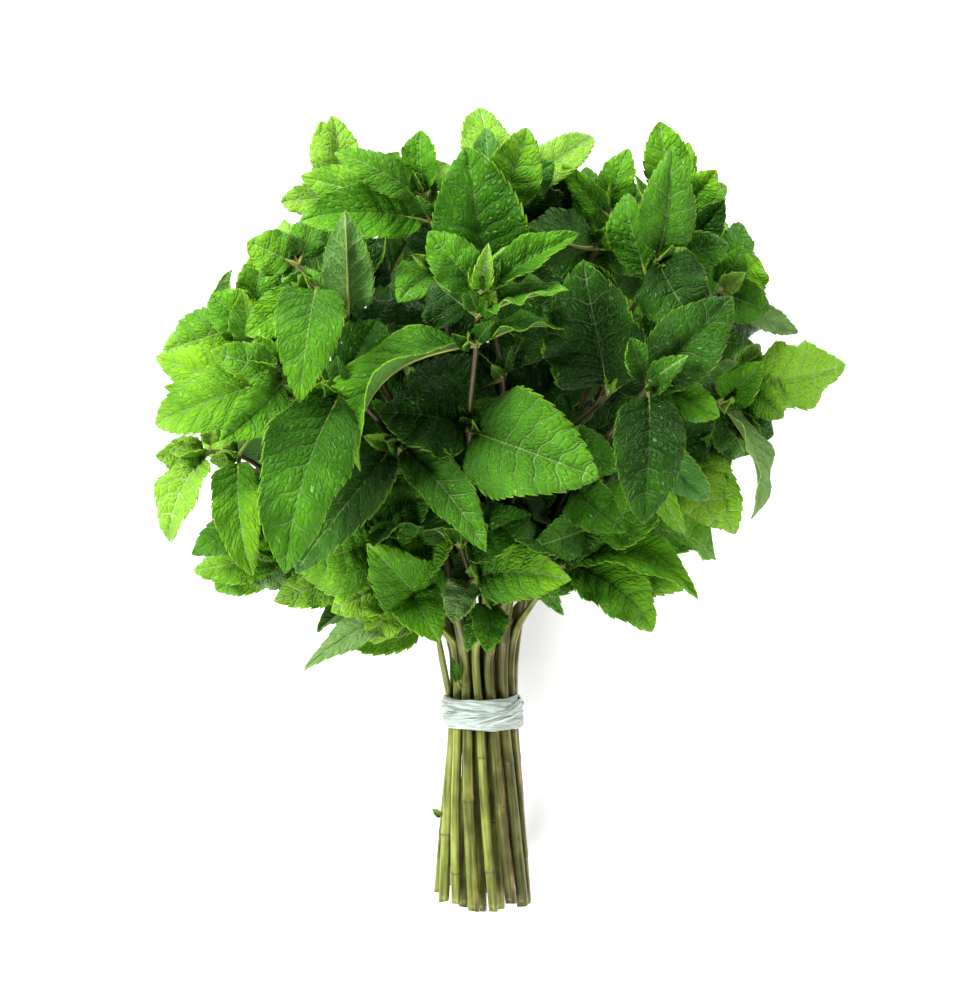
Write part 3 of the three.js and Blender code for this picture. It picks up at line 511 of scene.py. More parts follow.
def give_slots() -> list:
    """Gives each stem its place in the bundle, on the side to which its head leans.

    Returns:
        A (radius, angle) pair for each stem.
    """
    leaning = []
    for index, nodes in enumerate(SPRIGS):
        x, y, z = nodes[-1].at
        rise = z - axis_height(y)
        lean = math.hypot(x, rise) / (y - NECK_Y + NECK_REACH)
        leaning.append((lean, math.atan2(rise, x), index))
    leaning.sort(key=lambda one: one[0])
    slots = [None] * len(SPRIGS)
    taken = 0
    for count, radius in RINGS:
        ring = sorted(leaning[taken:taken + count], key=lambda one: one[1])
        taken += count
        pitch = 2 * math.pi / count
        misses = [one[1] - k * pitch for k, one in enumerate(ring)]
        start = math.atan2(sum(map(math.sin, misses)), sum(map(math.cos, misses)))
        for k, one in enumerate(ring):
            slots[one[2]] = (radius, start + k * pitch)
    return slots


def stem_course(nodes: tuple, slot: tuple, index: int) -> tuple:
    """The points that a stem runs through, from its cut end to its last joint.

    Args:
        nodes: the stem's joints with leaves.
        slot: its radius and angle in the bundle.
        index: which stem it is.

    Returns:
        The points and the stem's radius at each.
    """
    radius, angle = slot
    middle = (SPREAD["foot"] + SPREAD["tie"]) / 2
    factor, cycle = CUT_CYCLE
    low = (
        (CUT_FIRST + CUT_STEP * ((index * factor) % cycle), SPREAD["foot"], STEM["foot"], -TWIST),
        (TIE_Y / 2, middle, STEM["low"], -TWIST * LOW_TURN),
        (TIE_Y, SPREAD["tie"], STEM["tie"], -TWIST * TIE_TURN),
        (NECK_Y, SPREAD["neck"], STEM["neck"], 0.0),
    )
    points = [bundle_point(y, radius * spread, angle + turn) for y, spread, _, turn in low]
    radii = [thick for _, _, thick, _ in low]
    for point, thick in zip(points, radii):
        point[2] = max(point[2], thick)
    for k, node in enumerate(nodes):
        points.append(np.array(node.at, dtype=float))
        radii.append(STEM["neck"] + (STEM["tip"] - STEM["neck"]) * (k + 1) / len(nodes))
    return np.array(points), np.array(radii)


def pair_leaves(base: np.ndarray, along: np.ndarray, pair: tuple, splay: float, seed: int) -> list:
    """Two opposite leaves that hang outward from the bunch.

    Args:
        base: the joint that they grow from.
        along: the stem's direction there.
        pair: their length, width and turn about the stem.
        splay: the angle that they make with the stem, in degrees.
        seed: which row of random numbers shapes them.

    Returns:
        The two leaves.
    """
    length, width, turn = pair
    random = Draws(seed)
    outward = unit(np.array((base[0], 0.0, base[2] - axis_height(base[1]))))
    side = turned(unit(UP - along * np.dot(UP, along)), along, math.radians(turn + 90))
    leaves = []
    for sign in (1, -1):
        lean = math.radians(random.about(splay, RULE_STRAY["splay"]))
        way = turned(side, along, RULE_STRAY["turn"] * random()) * sign * math.sin(lean)
        way = unit(way + along * math.cos(lean) + outward * HANG)
        leaves.append(Leaf(
            base=base,
            tip=base + way * length * random.about(*RULE_LEAF["length"]),
            width=width * random.about(*RULE_LEAF["width"]),
            facing=outward + along * 0.5,
            roll=random.about(*RULE_LEAF["roll"]),
            bow=random.about(*RULE_LEAF["bow"]),
            fold=random.about(*RULE_LEAF["fold"]),
            tone=(DARK, MID, MID, BRIGHT)[(seed + sign) % 4],
        ))
    return leaves


def node_leaves(nodes: tuple, index: int, course: np.ndarray) -> list:
    """The leaves of one stem as they are meant to grow, before any is bent clear of another.

    Args:
        nodes: the stem's joints.
        index: which stem it is.
        course: the points that the stem runs through.

    Returns:
        The leaves.
    """
    leaves = []
    for k, node in enumerate(nodes):
        base = np.array(node.at, dtype=float)
        along = unit(base - course[len(course) - len(nodes) + k - 1])
        seed = index * 31 + k * 7
        for row, shown in ((node.leaves, True), (node.fill, False)):
            for x, y, z, width, roll, bow, fold, tone in row:
                tip = np.array((x, y, z), dtype=float)
                leaves.append(Leaf(base, tip, width, UP, roll, bow, fold, tone, shown))
        if node.pair:
            leaves += pair_leaves(base, along, node.pair, SPLAY["pair"], seed)
        if node.crown:
            length, width, turn = node.crown
            leaves += pair_leaves(base, along, node.crown, SPLAY["crown"], seed)
            bud = (length * BUD_SHARE, width * BUD_SHARE, turn + 90)
            leaves += pair_leaves(base, along, bud, SPLAY["bud"], seed + 3)
    for k, leaf in enumerate(leaves):
        leaf.seed = index * 64 + k + 1
    return leaves


def inner_leaves(nodes: tuple, index: int, course: np.ndarray) -> list:
    """The leaves that lie behind the others: those of the table, and a pair on a long bare stretch.

    Args:
        nodes: the stem's joints.
        index: which stem it is.
        course: the points that the stem runs through.

    Returns:
        The leaves.
    """
    leaves = []
    for node in nodes:
        base = np.array(node.at, dtype=float)
        for x, y, z, width, roll, bow, fold, tone in node.inner:
            leaves.append(Leaf(base, np.array((x, y, z), dtype=float), width, UP, roll, bow, fold, tone))
    first = len(course) - len(nodes)
    bare = course[first] - course[first - 1]
    if np.linalg.norm(bare) > LONG_STRETCH:
        base = Course(course).at(np.array([(first - INNER_PLACE) / (len(course) - 1)]))[0]
        leaves += pair_leaves(base, unit(bare), INNER_PAIR, SPLAY["pair"], 900 + index)
        # painted shade: the hidden pair is made dark green
        for leaf in leaves[-2:]:
            leaf.tone = DARK
    for k, leaf in enumerate(leaves):
        leaf.seed = 9000 + index * 16 + k
    return leaves


def sprouts() -> list:
    """The tiny leaves that sprout from the stems near the tie.

    Returns:
        One leaf for each row of SPROUTS.
    """
    leaves = []
    for k, (base, tip, width, tone) in enumerate(SPROUTS):
        leaves.append(Leaf(np.array(base, dtype=float), np.array(tip, dtype=float), width, UP,
                           *SPROUT_FORM, tone, seed=8000 + k))
    return leaves


def young_leaves(nodes: tuple, index: int, course: np.ndarray, grown: list) -> list:
    """The small leaves that sprout between a stem and its leaves, and those of its bud.

    Args:
        nodes: the stem's joints.
        index: which stem it is.
        course: the points that the stem runs through.
        grown: the stem's full leaves.

    Returns:
        The small leaves.
    """
    young = []
    random = Draws(7000 + index)
    for k, node in enumerate(nodes):
        base = np.array(node.at, dtype=float)
        along = unit(base - course[len(course) - len(nodes) + k - 1])
        ways = []
        for leaf in grown:
            if np.array_equal(leaf.base, base) and leaf.width >= YOUNG_LEAST:
                ways.append(unit(leaf.tip - base))
        if k == len(nodes) - 1:
            ways.append(along)
        for way in ways[:3]:
            shoot = unit(way * 0.5 + along * random.about(*YOUNG_WAY["ahead"]))
            side = np.cross(shoot, unit(way + UP * 0.3 + 0.01))
            for sign in (1, -1):
                lean = unit(shoot + side * sign * random.about(*YOUNG_WAY["aside"]) + UP * 0.15)
                length = random.about(*YOUNG_LEAF["length"])
                young.append(Leaf(
                    base=base,
                    tip=base + lean * length,
                    width=length * random.about(*YOUNG_LEAF["width"]),
                    facing=UP + lean * 0.2 - side * sign * 0.5,
                    roll=random.about(*YOUNG_LEAF["roll"]),
                    bow=0.1,
                    fold=random.about(*YOUNG_LEAF["fold"]),
                    tone=(MID, BRIGHT, LIME)[int(random.about(1.5, 1.49))],
                ))
    for k, leaf in enumerate(young):
        leaf.seed = 5000 + index * 64 + k
    return young


def nudged(leaf: Leaf, count: int) -> Leaf:
    """Bends a leaf as its solid was bent clear of its neighbours.

    Args:
        leaf: as it was meant to grow.
        count: how many tries it took to clear it.

    Returns:
        The bent leaf.
    """
    if count == 0:
        return leaf
    random = Draws(leaf.seed * 101 + count)
    amount = count / TRIES
    most = NUDGE if leaf.shown else FILL_NUDGE
    tip = leaf.tip + np.array([reach * random() for reach in most["tip"]]) * amount
    roll = leaf.roll + most["roll"] * amount * random()
    bow = leaf.bow + most["bow"] * amount * random()
    width = leaf.width * (1 - most["shrink"] * amount * abs(random()))
    return Leaf(leaf.base, tip, width, leaf.facing, roll, bow, leaf.fold, leaf.tone,
                leaf.shown, leaf.seed)


def as_packed(leaf: Leaf, corners: KDTree, shift: np.ndarray) -> Leaf | None:
    """Finds how far a leaf was bent when its solid was made.

    Args:
        leaf: the leaf as it was meant to grow.
        corners: the corners of its stem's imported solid, in the frame's metres.
        shift: from the growers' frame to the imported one, in millimetres.

    Returns:
        The leaf as it is in the solid, or None where it was left out.
    """
    for count in range(TRIES):
        tried = nudged(leaf, count)
        tip = tried.tip - shift
        tip[2] = max(tip[2], 0.0)
        if corners.find(Vector(tip * MM))[2] < MATCH * MM:
            return tried
    return None


class Course:
    """A smooth curve through points: centripetal Catmull-Rom, as the stems' solids follow."""

    def __init__(self, points: np.ndarray) -> None:
        """Sets the curve up.

        Args:
            points: what it runs through, one row each.
        """
        first = 2 * points[0] - points[1]
        last = 2 * points[-1] - points[-2]
        self.points = np.vstack((first, points, last))
        self.spans = len(points) - 1

    def at(self, place: np.ndarray) -> np.ndarray:
        """Points of the curve.

        Args:
            place: from 0 at the first point to 1 at the last.

        Returns:
            One row for each place.
        """
        reach = np.clip(place, 0, 1) * self.spans
        span = np.minimum(reach.astype(int), self.spans - 1)
        t = (reach - span)[:, None]
        p0, p1, p2, p3 = (self.points[span + k] for k in range(4))
        d0, d1, d2 = (
            np.sqrt(np.linalg.norm(b - a, axis=1))[:, None]
            for a, b in ((p0, p1), (p1, p2), (p2, p3))
        )
        m1 = ((p1 - p0) / d0 - (p2 - p0) / (d0 + d1) + (p2 - p1) / d1) * d1
        m2 = ((p2 - p1) / d1 - (p3 - p1) / (d1 + d2) + (p3 - p2) / d2) * d1
        c2 = -3 * p1 + 3 * p2 - 2 * m1 - m2
        c3 = 2 * p1 - 2 * p2 + m1 + m2
        return p1 + m1 * t + c2 * t**2 + c3 * t**3

    def way(self, place: np.ndarray) -> np.ndarray:
        """Directions of the curve.

        Args:
            place: from 0 at the first point to 1 at the last.

        Returns:
            One unit row for each place.
        """
        step = 1e-4
        ahead = self.at(np.minimum(place + step, 1)) - self.at(np.maximum(place - step, 0))
        return ahead / np.linalg.norm(ahead, axis=1)[:, None]


# ---------------------------------------------------------------- making meshes


def select_only(*objects: bpy.types.Object) -> None:
    """Selects objects and nothing else.

    Args:
        *objects: what to select, with the one to make active first.
    """
    bpy.ops.object.select_all(action="DESELECT")
    for obj in objects:
        obj.select_set(True)
    bpy.context.view_layer.objects.active = objects[0]


def apply_modifier(obj: bpy.types.Object, kind: str, **settings: object) -> None:
    """Adds a modifier and applies it.

    Args:
        obj: the object.
        kind: the modifier's type.
        **settings: its settings.
    """
    modifier = obj.modifiers.new(kind, kind)
    for name, value in settings.items():
        setattr(modifier, name, value)
    select_only(obj)
    bpy.ops.object.modifier_apply(modifier=modifier.name)


@contextmanager
def editing(obj: bpy.types.Object) -> Iterator[None]:
    """Edit mode on one object, with all of it selected at the start.

    Args:
        obj: the object.

    Yields:
        Nothing, while edit mode is on.
    """
    select_only(obj)
    bpy.ops.object.mode_set(mode="EDIT")
    bpy.ops.mesh.select_all(action="SELECT")
    yield
    bpy.ops.object.mode_set(mode="OBJECT")


def sheet(columns: int, rows: int) -> bpy.types.Object:
    """A flat square sheet from -1 to 1 in X and Y, to be bent into shape.

    Args:
        columns: how many faces it has along X.
        rows: and along Y.

    Returns:
        The sheet.
    """
    bpy.ops.object.select_all(action="DESELECT")
    bpy.ops.mesh.primitive_grid_add(x_subdivisions=columns, y_subdivisions=rows, size=2)
    return bpy.context.object


def hose(sides: int, steps: int) -> bpy.types.Object:
    """An open tube of radius 1 from Z 0 to 1, to be bent along a course.

    Args:
        sides: how many sides it has.
        steps: how many pieces it has along its length.

    Returns:
        The tube.
    """
    bpy.ops.object.select_all(action="DESELECT")
    bpy.ops.mesh.primitive_circle_add(vertices=sides, radius=1)
    obj = bpy.context.object
    apply_modifier(obj, "SCREW", angle=0.0, screw_offset=1.0, steps=steps, render_steps=steps)
    return obj


def close_ends(obj: bpy.types.Object) -> None:
    """Closes the ends of a tube and turns its faces outwards.

    Args:
        obj: the tube.
    """
    with editing(obj):
        bpy.ops.mesh.fill_holes(sides=0)
        bpy.ops.mesh.normals_make_consistent(inside=False)


def corners(obj: bpy.types.Object) -> np.ndarray:
    """The places of a mesh's vertices.

    Args:
        obj: the mesh.

    Returns:
        One row for each vertex, in the mesh's own units.
    """
    flat = np.empty(len(obj.data.vertices) * 3)
    obj.data.vertices.foreach_get("co", flat)
    return flat.reshape(-1, 3)


def bend(obj: bpy.types.Object, points: np.ndarray) -> None:
    """Moves a mesh's vertices to these places, given in millimetres."""
    obj.data.vertices.foreach_set("co", (points * MM).ravel())
    obj.data.update()


def mark(obj: bpy.types.Object, name: str, values: np.ndarray) -> None:
    """Keeps three or four numbers for each vertex, for a material to read.

    Args:
        obj: the mesh.
        name: of the attribute.
        values: a row of three or four numbers for each vertex.
    """
    if values.shape[1] == 3:
        layer = obj.data.attributes.new(name, "FLOAT_VECTOR", "POINT")
        layer.data.foreach_set("vector", values.astype(np.float32).ravel())
    else:
        layer = obj.data.attributes.new(name, "FLOAT_COLOR", "POINT")
        layer.data.foreach_set("color", values.astype(np.float32).ravel())


def dress(obj: bpy.types.Object, *materials: bpy.types.Material) -> None:
    """Gives a mesh its materials and shades it smooth.

    Args:
        obj: the mesh.
        *materials: its materials, in the order of their slots.
    """
    for material in materials:
        obj.data.materials.append(material)
    select_only(obj)
    bpy.ops.object.shade_smooth()


def joined(name: str, pieces: list) -> bpy.types.Object:
    """Joins meshes into one named piece.

    Args:
        name: of the piece.
        pieces: the meshes, which become one.

    Returns:
        The piece.
    """
    select_only(*pieces)
    if len(pieces) > 1:
        bpy.ops.object.join()
    obj = bpy.context.object
    obj.name = name
    obj.data.name = name
    return obj


def hand_over(piece: bpy.types.Object, slot: str, *nodes: str) -> None:
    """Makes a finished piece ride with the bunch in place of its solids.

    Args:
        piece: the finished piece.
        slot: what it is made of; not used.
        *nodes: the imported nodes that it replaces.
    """
    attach(piece, "root")
    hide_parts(*nodes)
    LOG.info("%s: %d faces", piece.name, len(piece.data.polygons))


def smooth_step(value: np.ndarray, low: float, high: float) -> np.ndarray:
    """0 below low, 1 above high and an even ease between them."""
    part = np.clip((value - low) / (high - low), 0, 1)
    return part * part * (3 - 2 * part)


def scattered(index: np.ndarray, seed: float) -> np.ndarray:
    """A number from 0 to 1 for each whole number."""
    return np.modf(np.abs(np.sin(index * 12.9898 + seed * 78.233)) * 43758.5453)[0]


# ---------------------------------------------------------------- leaves


class Detail(Enum):
    """How finely a leaf is made: rows for each tooth, and the width of its columns in millimetres."""

    FINE = (5, 0.95)
    PLAIN = (4, 1.2)
    HIDDEN = (3, 1.6)
    SMALL = (3, 1.2)
    TINY = (2, 1.3)


@dataclass
class Blade:
    """The mesh of one leaf: a thin quilted blade with its teeth, and the rib under it."""

    leaf: Leaf
    shift: np.ndarray
    thickness: float = 0.3
    start_most: float = 0.3          # the blade starts no further along the leaf than this share
    start_more: float = 0.04         # and this share beyond the stalk's own length
    sweep: float = 1.8               # how strongly the side veins run forward
    vein_pitch: float = 5.0
    vein_range: tuple = (4.5, 9.5)   # fewest and most side veins on each side
    tooth_pitch: float = 3.1
    tooth_range: tuple = (5, 15)     # fewest and most teeth on each side
    tooth_form: tuple = ((0, 0.2, 0.4, 0.6, 0.8, 1), (-1, -0.1, 0.4, 0.75, 1, -1))
    tooth_depth: float = 0.21
    tooth_growth: float = 0.022      # how much deeper teeth are for each millimetre of half width
    tooth_lean: float = 0.45
    rim: float = 0.13                # share of the half width that the teeth take
    quilt: float = 0.62              # the most that the blade bulges between veins
    quilt_least: float = 0.1
    quilt_growth: float = 0.024      # how much more it bulges for each millimetre of width
    cell: float = 4.2                # length of a bulge along the veins
    cell_step: float = 0.618         # how far the bulges of neighbouring rows are out of step
    rounding: float = 0.8            # below 1, bulges are full and the lines between them narrow
    groove: float = 0.26
    groove_width: float = 0.5
    rest: float = 0.32               # height of a blade that lies on the surface
    stalk_rest: float = 0.12         # and of a stalk
    ease: float = 0.3                # how softly a leaf bends as it meets the surface
    petiole: float = 0.75            # radius of the leaf's stalk
    stalk_sunk: float = 0.6          # how deep it starts behind the stem's middle
    stalk_end: float = 0.93          # where the rib under the blade ends
    wave_depth: float = 0.19         # of the edge, as a share of the half width
    painted_light_to_tip: float = 0.32          # painted shade at the base, painted light at the tip: how much lighter green the tip is
    dip_start: float = 0.64          # where the tip starts to curl down
    # How leaves differ, each as a middle and the most that a leaf strays from it.
    curls: tuple = (-0.14, 0.42)     # of the edge, as a share of the half width
    waves_along: tuple = (2.4, 0.8)  # waves on each edge
    tip_curls: tuple = (0.03, 0.075)           # down, as a share of the length
    sickles: tuple = (0.0, 0.035)    # sideways, as a share of the length
    twists: tuple = (0.0, 0.3)
    more_fold: tuple = (10.0, 9.0)   # degrees beyond the leaf's own fold

    def __post_init__(self) -> None:
        """Works out the leaf's own directions."""
        leaf = self.leaf
        self.length = leaf.length
        self.along = (leaf.tip - leaf.base) / self.length
        face = unit(leaf.facing - self.along * np.dot(leaf.facing, self.along))
        self.face = turned(face, self.along, math.radians(leaf.roll))
        self.across = np.cross(self.along, self.face)
        self.arch = 4 * leaf.bow * self.length
        self.start = min(self.start_most, PETIOLE_LENGTH / self.length + self.start_more)
        self.half = leaf.width * FLAT_WIDTH / 2
        self.veins = float(np.clip(self.length / self.vein_pitch, *self.vein_range))
        self.teeth = int(np.clip(round(self.length / self.tooth_pitch), *self.tooth_range))
        random = Draws(leaf.seed * 17 + 5)
        self.curl = (random.about(*self.curls), random.about(*self.curls))
        self.waves = random.about(*self.waves_along)
        self.phase = random()
        self.tip_curl = self.length * random.about(*self.tip_curls)
        self.sickle = self.length * random.about(*self.sickles)
        self.twist = random.about(*self.twists)
        self.fold = math.radians(leaf.fold + random.about(*self.more_fold))
        self.chance = random.about(0.5, 0.5)

    @property
    def outward(self) -> float:
        """How near the head's rim the leaf ends: above 0 at the rim and below 0 in the middle."""
        x, y, _ = self.leaf.tip
        return math.hypot(x, y - HEAD_Y) / HEAD_REACH - OUTER_START

    @property
    def detail(self) -> Detail:
        """How finely the leaf is made: wide leaves that show are the finest.

        Returns:
            Its detail.
        """
        if not self.leaf.shown:
            return Detail.HIDDEN if self.leaf.width >= 8 else Detail.TINY
        if self.leaf.width >= 12:
            return Detail.FINE
        return Detail.PLAIN if self.leaf.width >= 8 else Detail.SMALL

    def rib(self, v: np.ndarray) -> tuple:
        """The midrib's course.

        Args:
            v: from 0 in the stem to 1 at the tip.

        Returns:
            Its points, and the directions that the blade faces there.
        """
        v = v[:, None]
        hump = 4 * v * (1 - v)
        points = self.leaf.base + self.along * v * self.length + self.face * self.arch * hump / 4
        tilt = self.face - self.along * (self.arch * (1 - 2 * v) / self.length)
        tilt /= np.linalg.norm(tilt, axis=1)[:, None]
        dip = self.tip_curl * np.clip((v - self.dip_start) / (1 - self.dip_start), 0, 1) ** 2
        return points + self.across * self.sickle * hump - tilt * dip, tilt

    def pressed(self, points: np.ndarray, least: float) -> np.ndarray:
        """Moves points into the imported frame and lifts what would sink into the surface.

        Args:
            points: in the growers' frame; they stay as they are.
            least: the least height over the surface.

        Returns:
            The moved points.
        """
        points = points - self.shift
        clear = (points[:, 2] - least) / self.ease
        points[:, 2] = least + self.ease * np.logaddexp(clear, 0)
        return points

    def bulges(self, side: np.ndarray, phase: np.ndarray, reach: np.ndarray) -> np.ndarray:
        """How far the blade stands up between its veins.

        Args:
            side: from 0 at the midrib to 1 at either edge.
            phase: how many side veins lie below.
            reach: distance from the midrib, below 0 on the left.

        Returns:
            The height in millimetres.
        """
        far = np.abs(reach)
        row = phase + SWAY * np.sin(SWAY_RATE * far + self.chance * PATTERN_SHIFT)
        place = far / self.cell + self.cell_step * np.floor(row)
        band = np.abs(np.sin(np.pi * row)) ** self.rounding
        pillow = np.abs(np.sin(np.pi * place)) ** self.rounding
        most = min(self.quilt, self.quilt_least + self.quilt_growth * self.leaf.width)
        fades = smooth_step(side, 0.0, 0.12) * (1 - 0.75 * side**5)
        return most * fades * (0.7 * band + 0.6 * band * pillow - 0.6)

    def tooth(self, row: np.ndarray) -> np.ndarray:
        """The teeth, which fade out at the stalk and at the tip.

        Args:
            row: from 0 at the blade's foot to 1 at its tip.

        Returns:
            How far the edge stands out, from -1 to 1.
        """
        place = np.mod(row * self.teeth + 1e-6, 1)
        whole = smooth_step(row, 0.03, 0.14) * smooth_step(1 - row, 0.0, 0.06)
        return np.interp(place, *self.tooth_form) * whole

    def lift(self, x: np.ndarray, side: np.ndarray, part: np.ndarray, half: np.ndarray) -> np.ndarray:
        """How far the blade stands off its flat shape: fold, curl, waved edge and twist.

        Args:
            x: from -1 at the left edge to 1 at the right.
            side: from 0 at the midrib to 1 at either edge.
            part: from 0 at the blade's foot to 1 at its tip.
            half: half the blade's width there.

        Returns:
            The lift in millimetres.
        """
        folded = math.sin(self.fold) * (1.35 * side - 0.35 * side**2)
        curled = np.where(x < 0, *self.curl) * side**2.4
        swing = self.waves * part + self.phase + 0.37 * (x < 0)
        waved = self.wave_depth * side**2.5 * np.sin(2 * np.pi * swing)
        twisted = np.sign(x) * side * self.twist * (part - 0.3)
        return half * (folded + curled + waved + twisted)

    def tones(self, part: np.ndarray) -> np.ndarray:
        """How light the blade's green is, from 0 to 1, along the blade, with painted light and shade in it.
        """
        # painted light at the head's rim and painted shade in its middle
        light = self.leaf.tone.light + 0.12 * (self.chance - 0.5) + PAINTED_OUTER_LIGHT * self.outward
        # painted shade toward the base and painted light toward the tip
        return np.clip(light + self.painted_light_to_tip * (part - 0.6), 0, 1)

    def blade(self, upper: bpy.types.Material, under: bpy.types.Material) -> bpy.types.Object:
        """Makes the blade.

        Args:
            upper: the finish of its upper side.
            under: the finish of its underside.

        Returns:
            The blade as a closed mesh.
        """
        rows, pitch = self.detail.value
        columns = max(3, round(self.half / pitch))
        obj = sheet(columns * 2, rows * self.teeth)
        x, y, _ = corners(obj).T
        size = np.abs(x)
        side = 0.6 * size + 0.4 * np.sin(size * np.pi / 2)
        row = (y + 1) / 2
        phase = row * self.veins
        edge = np.clip((side - 1 + self.rim) / self.rim, 0, 1) ** 1.5 * self.tooth(row)
        start = row**self.sweep
        part = start + (row - start) * side**0.95
        part = np.clip(part + edge * self.tooth_lean / self.teeth / 2, 0, 1)
        half = np.maximum(self.half * outline(part), 0.7 * self.petiole * (1 - part) ** 6)
        depth = (self.tooth_depth + self.tooth_growth * self.half) * np.clip(half / 3, 0, 1)
        reach = np.sign(x) * (half * side + edge * depth)
        v = self.start + part * (1 - self.start)
        relief = self.bulges(side, phase, reach)
        relief -= self.groove * np.exp(-((reach / self.groove_width) ** 2)) * (1 - 0.6 * part)
        points, tilt = self.rib(v)
        points += self.across * (reach * math.cos(self.fold))[:, None]
        points += tilt * self.lift(x, side, part, half)[:, None]
        normal = tilt * math.cos(self.fold) - np.outer(np.sign(x) * math.sin(self.fold), self.across)
        points += normal * relief[:, None]
        bend(obj, self.pressed(points, self.rest))
        others = (self.leaf.tone.blue, self.leaf.tone.pale, self.chance)
        mark(obj, "venation", np.column_stack((side * np.sign(x), phase, half)))
        mark(obj, "leaf_place", np.column_stack((
            reach, v * self.length, np.full_like(x, self.chance * PATTERN_SHIFT))))
        mark(obj, "mood", np.column_stack((self.tones(part), np.tile(others, (len(x), 1)))))
        with editing(obj):
            bpy.ops.mesh.remove_doubles(threshold=0.004 * MM)
        dress(obj, upper, under)
        apply_modifier(obj, "SOLIDIFY", thickness=self.thickness * MM, offset=0.0, material_offset=1)
        return obj

    def stalk(self, material: bpy.types.Material) -> bpy.types.Object:
        """Makes the leaf's stalk, which runs on as a rib under the blade.

        Args:
            material: its finish.

        Returns:
            The stalk as a closed mesh.
        """
        obj = hose(*((4, 7) if self.detail is Detail.TINY else (6, 12)))
        x, y, z = corners(obj).T
        v = -self.stalk_sunk / self.length + z * self.stalk_end
        part = np.clip((v - self.start) / (1 - self.start), 0, 1)
        slim = min(1.0, 0.45 + 0.03 * self.leaf.width)
        radius = slim * self.petiole * (1 - part) ** 1.1 + 0.08
        points, tilt = self.rib(v)
        under = smooth_step(part, 0.0, 0.12) * (self.groove + self.thickness / 2 + 0.35 * radius)
        points -= tilt * under[:, None]
        points += self.across * (x * radius)[:, None] + tilt * (y * radius)[:, None]
        bend(obj, self.pressed(points, self.stalk_rest))
        bark = (0.0, 0.4 + 0.35 * self.leaf.tone.light, 0.0, self.chance)
        mark(obj, "bark", np.tile(bark, (len(z), 1)))
        mark(obj, "grain_place", np.column_stack((x * 0.1, y * 0.1, z * self.length / 10)))
        close_ends(obj)
        dress(obj, material)
        return obj


def outline(part: np.ndarray) -> np.ndarray:
    """Half the width of a leaf along its blade, as a share of the most."""
    return part**0.55 * (1 - part) ** 0.85 / 0.3914


# ---------------------------------------------------------------- stems


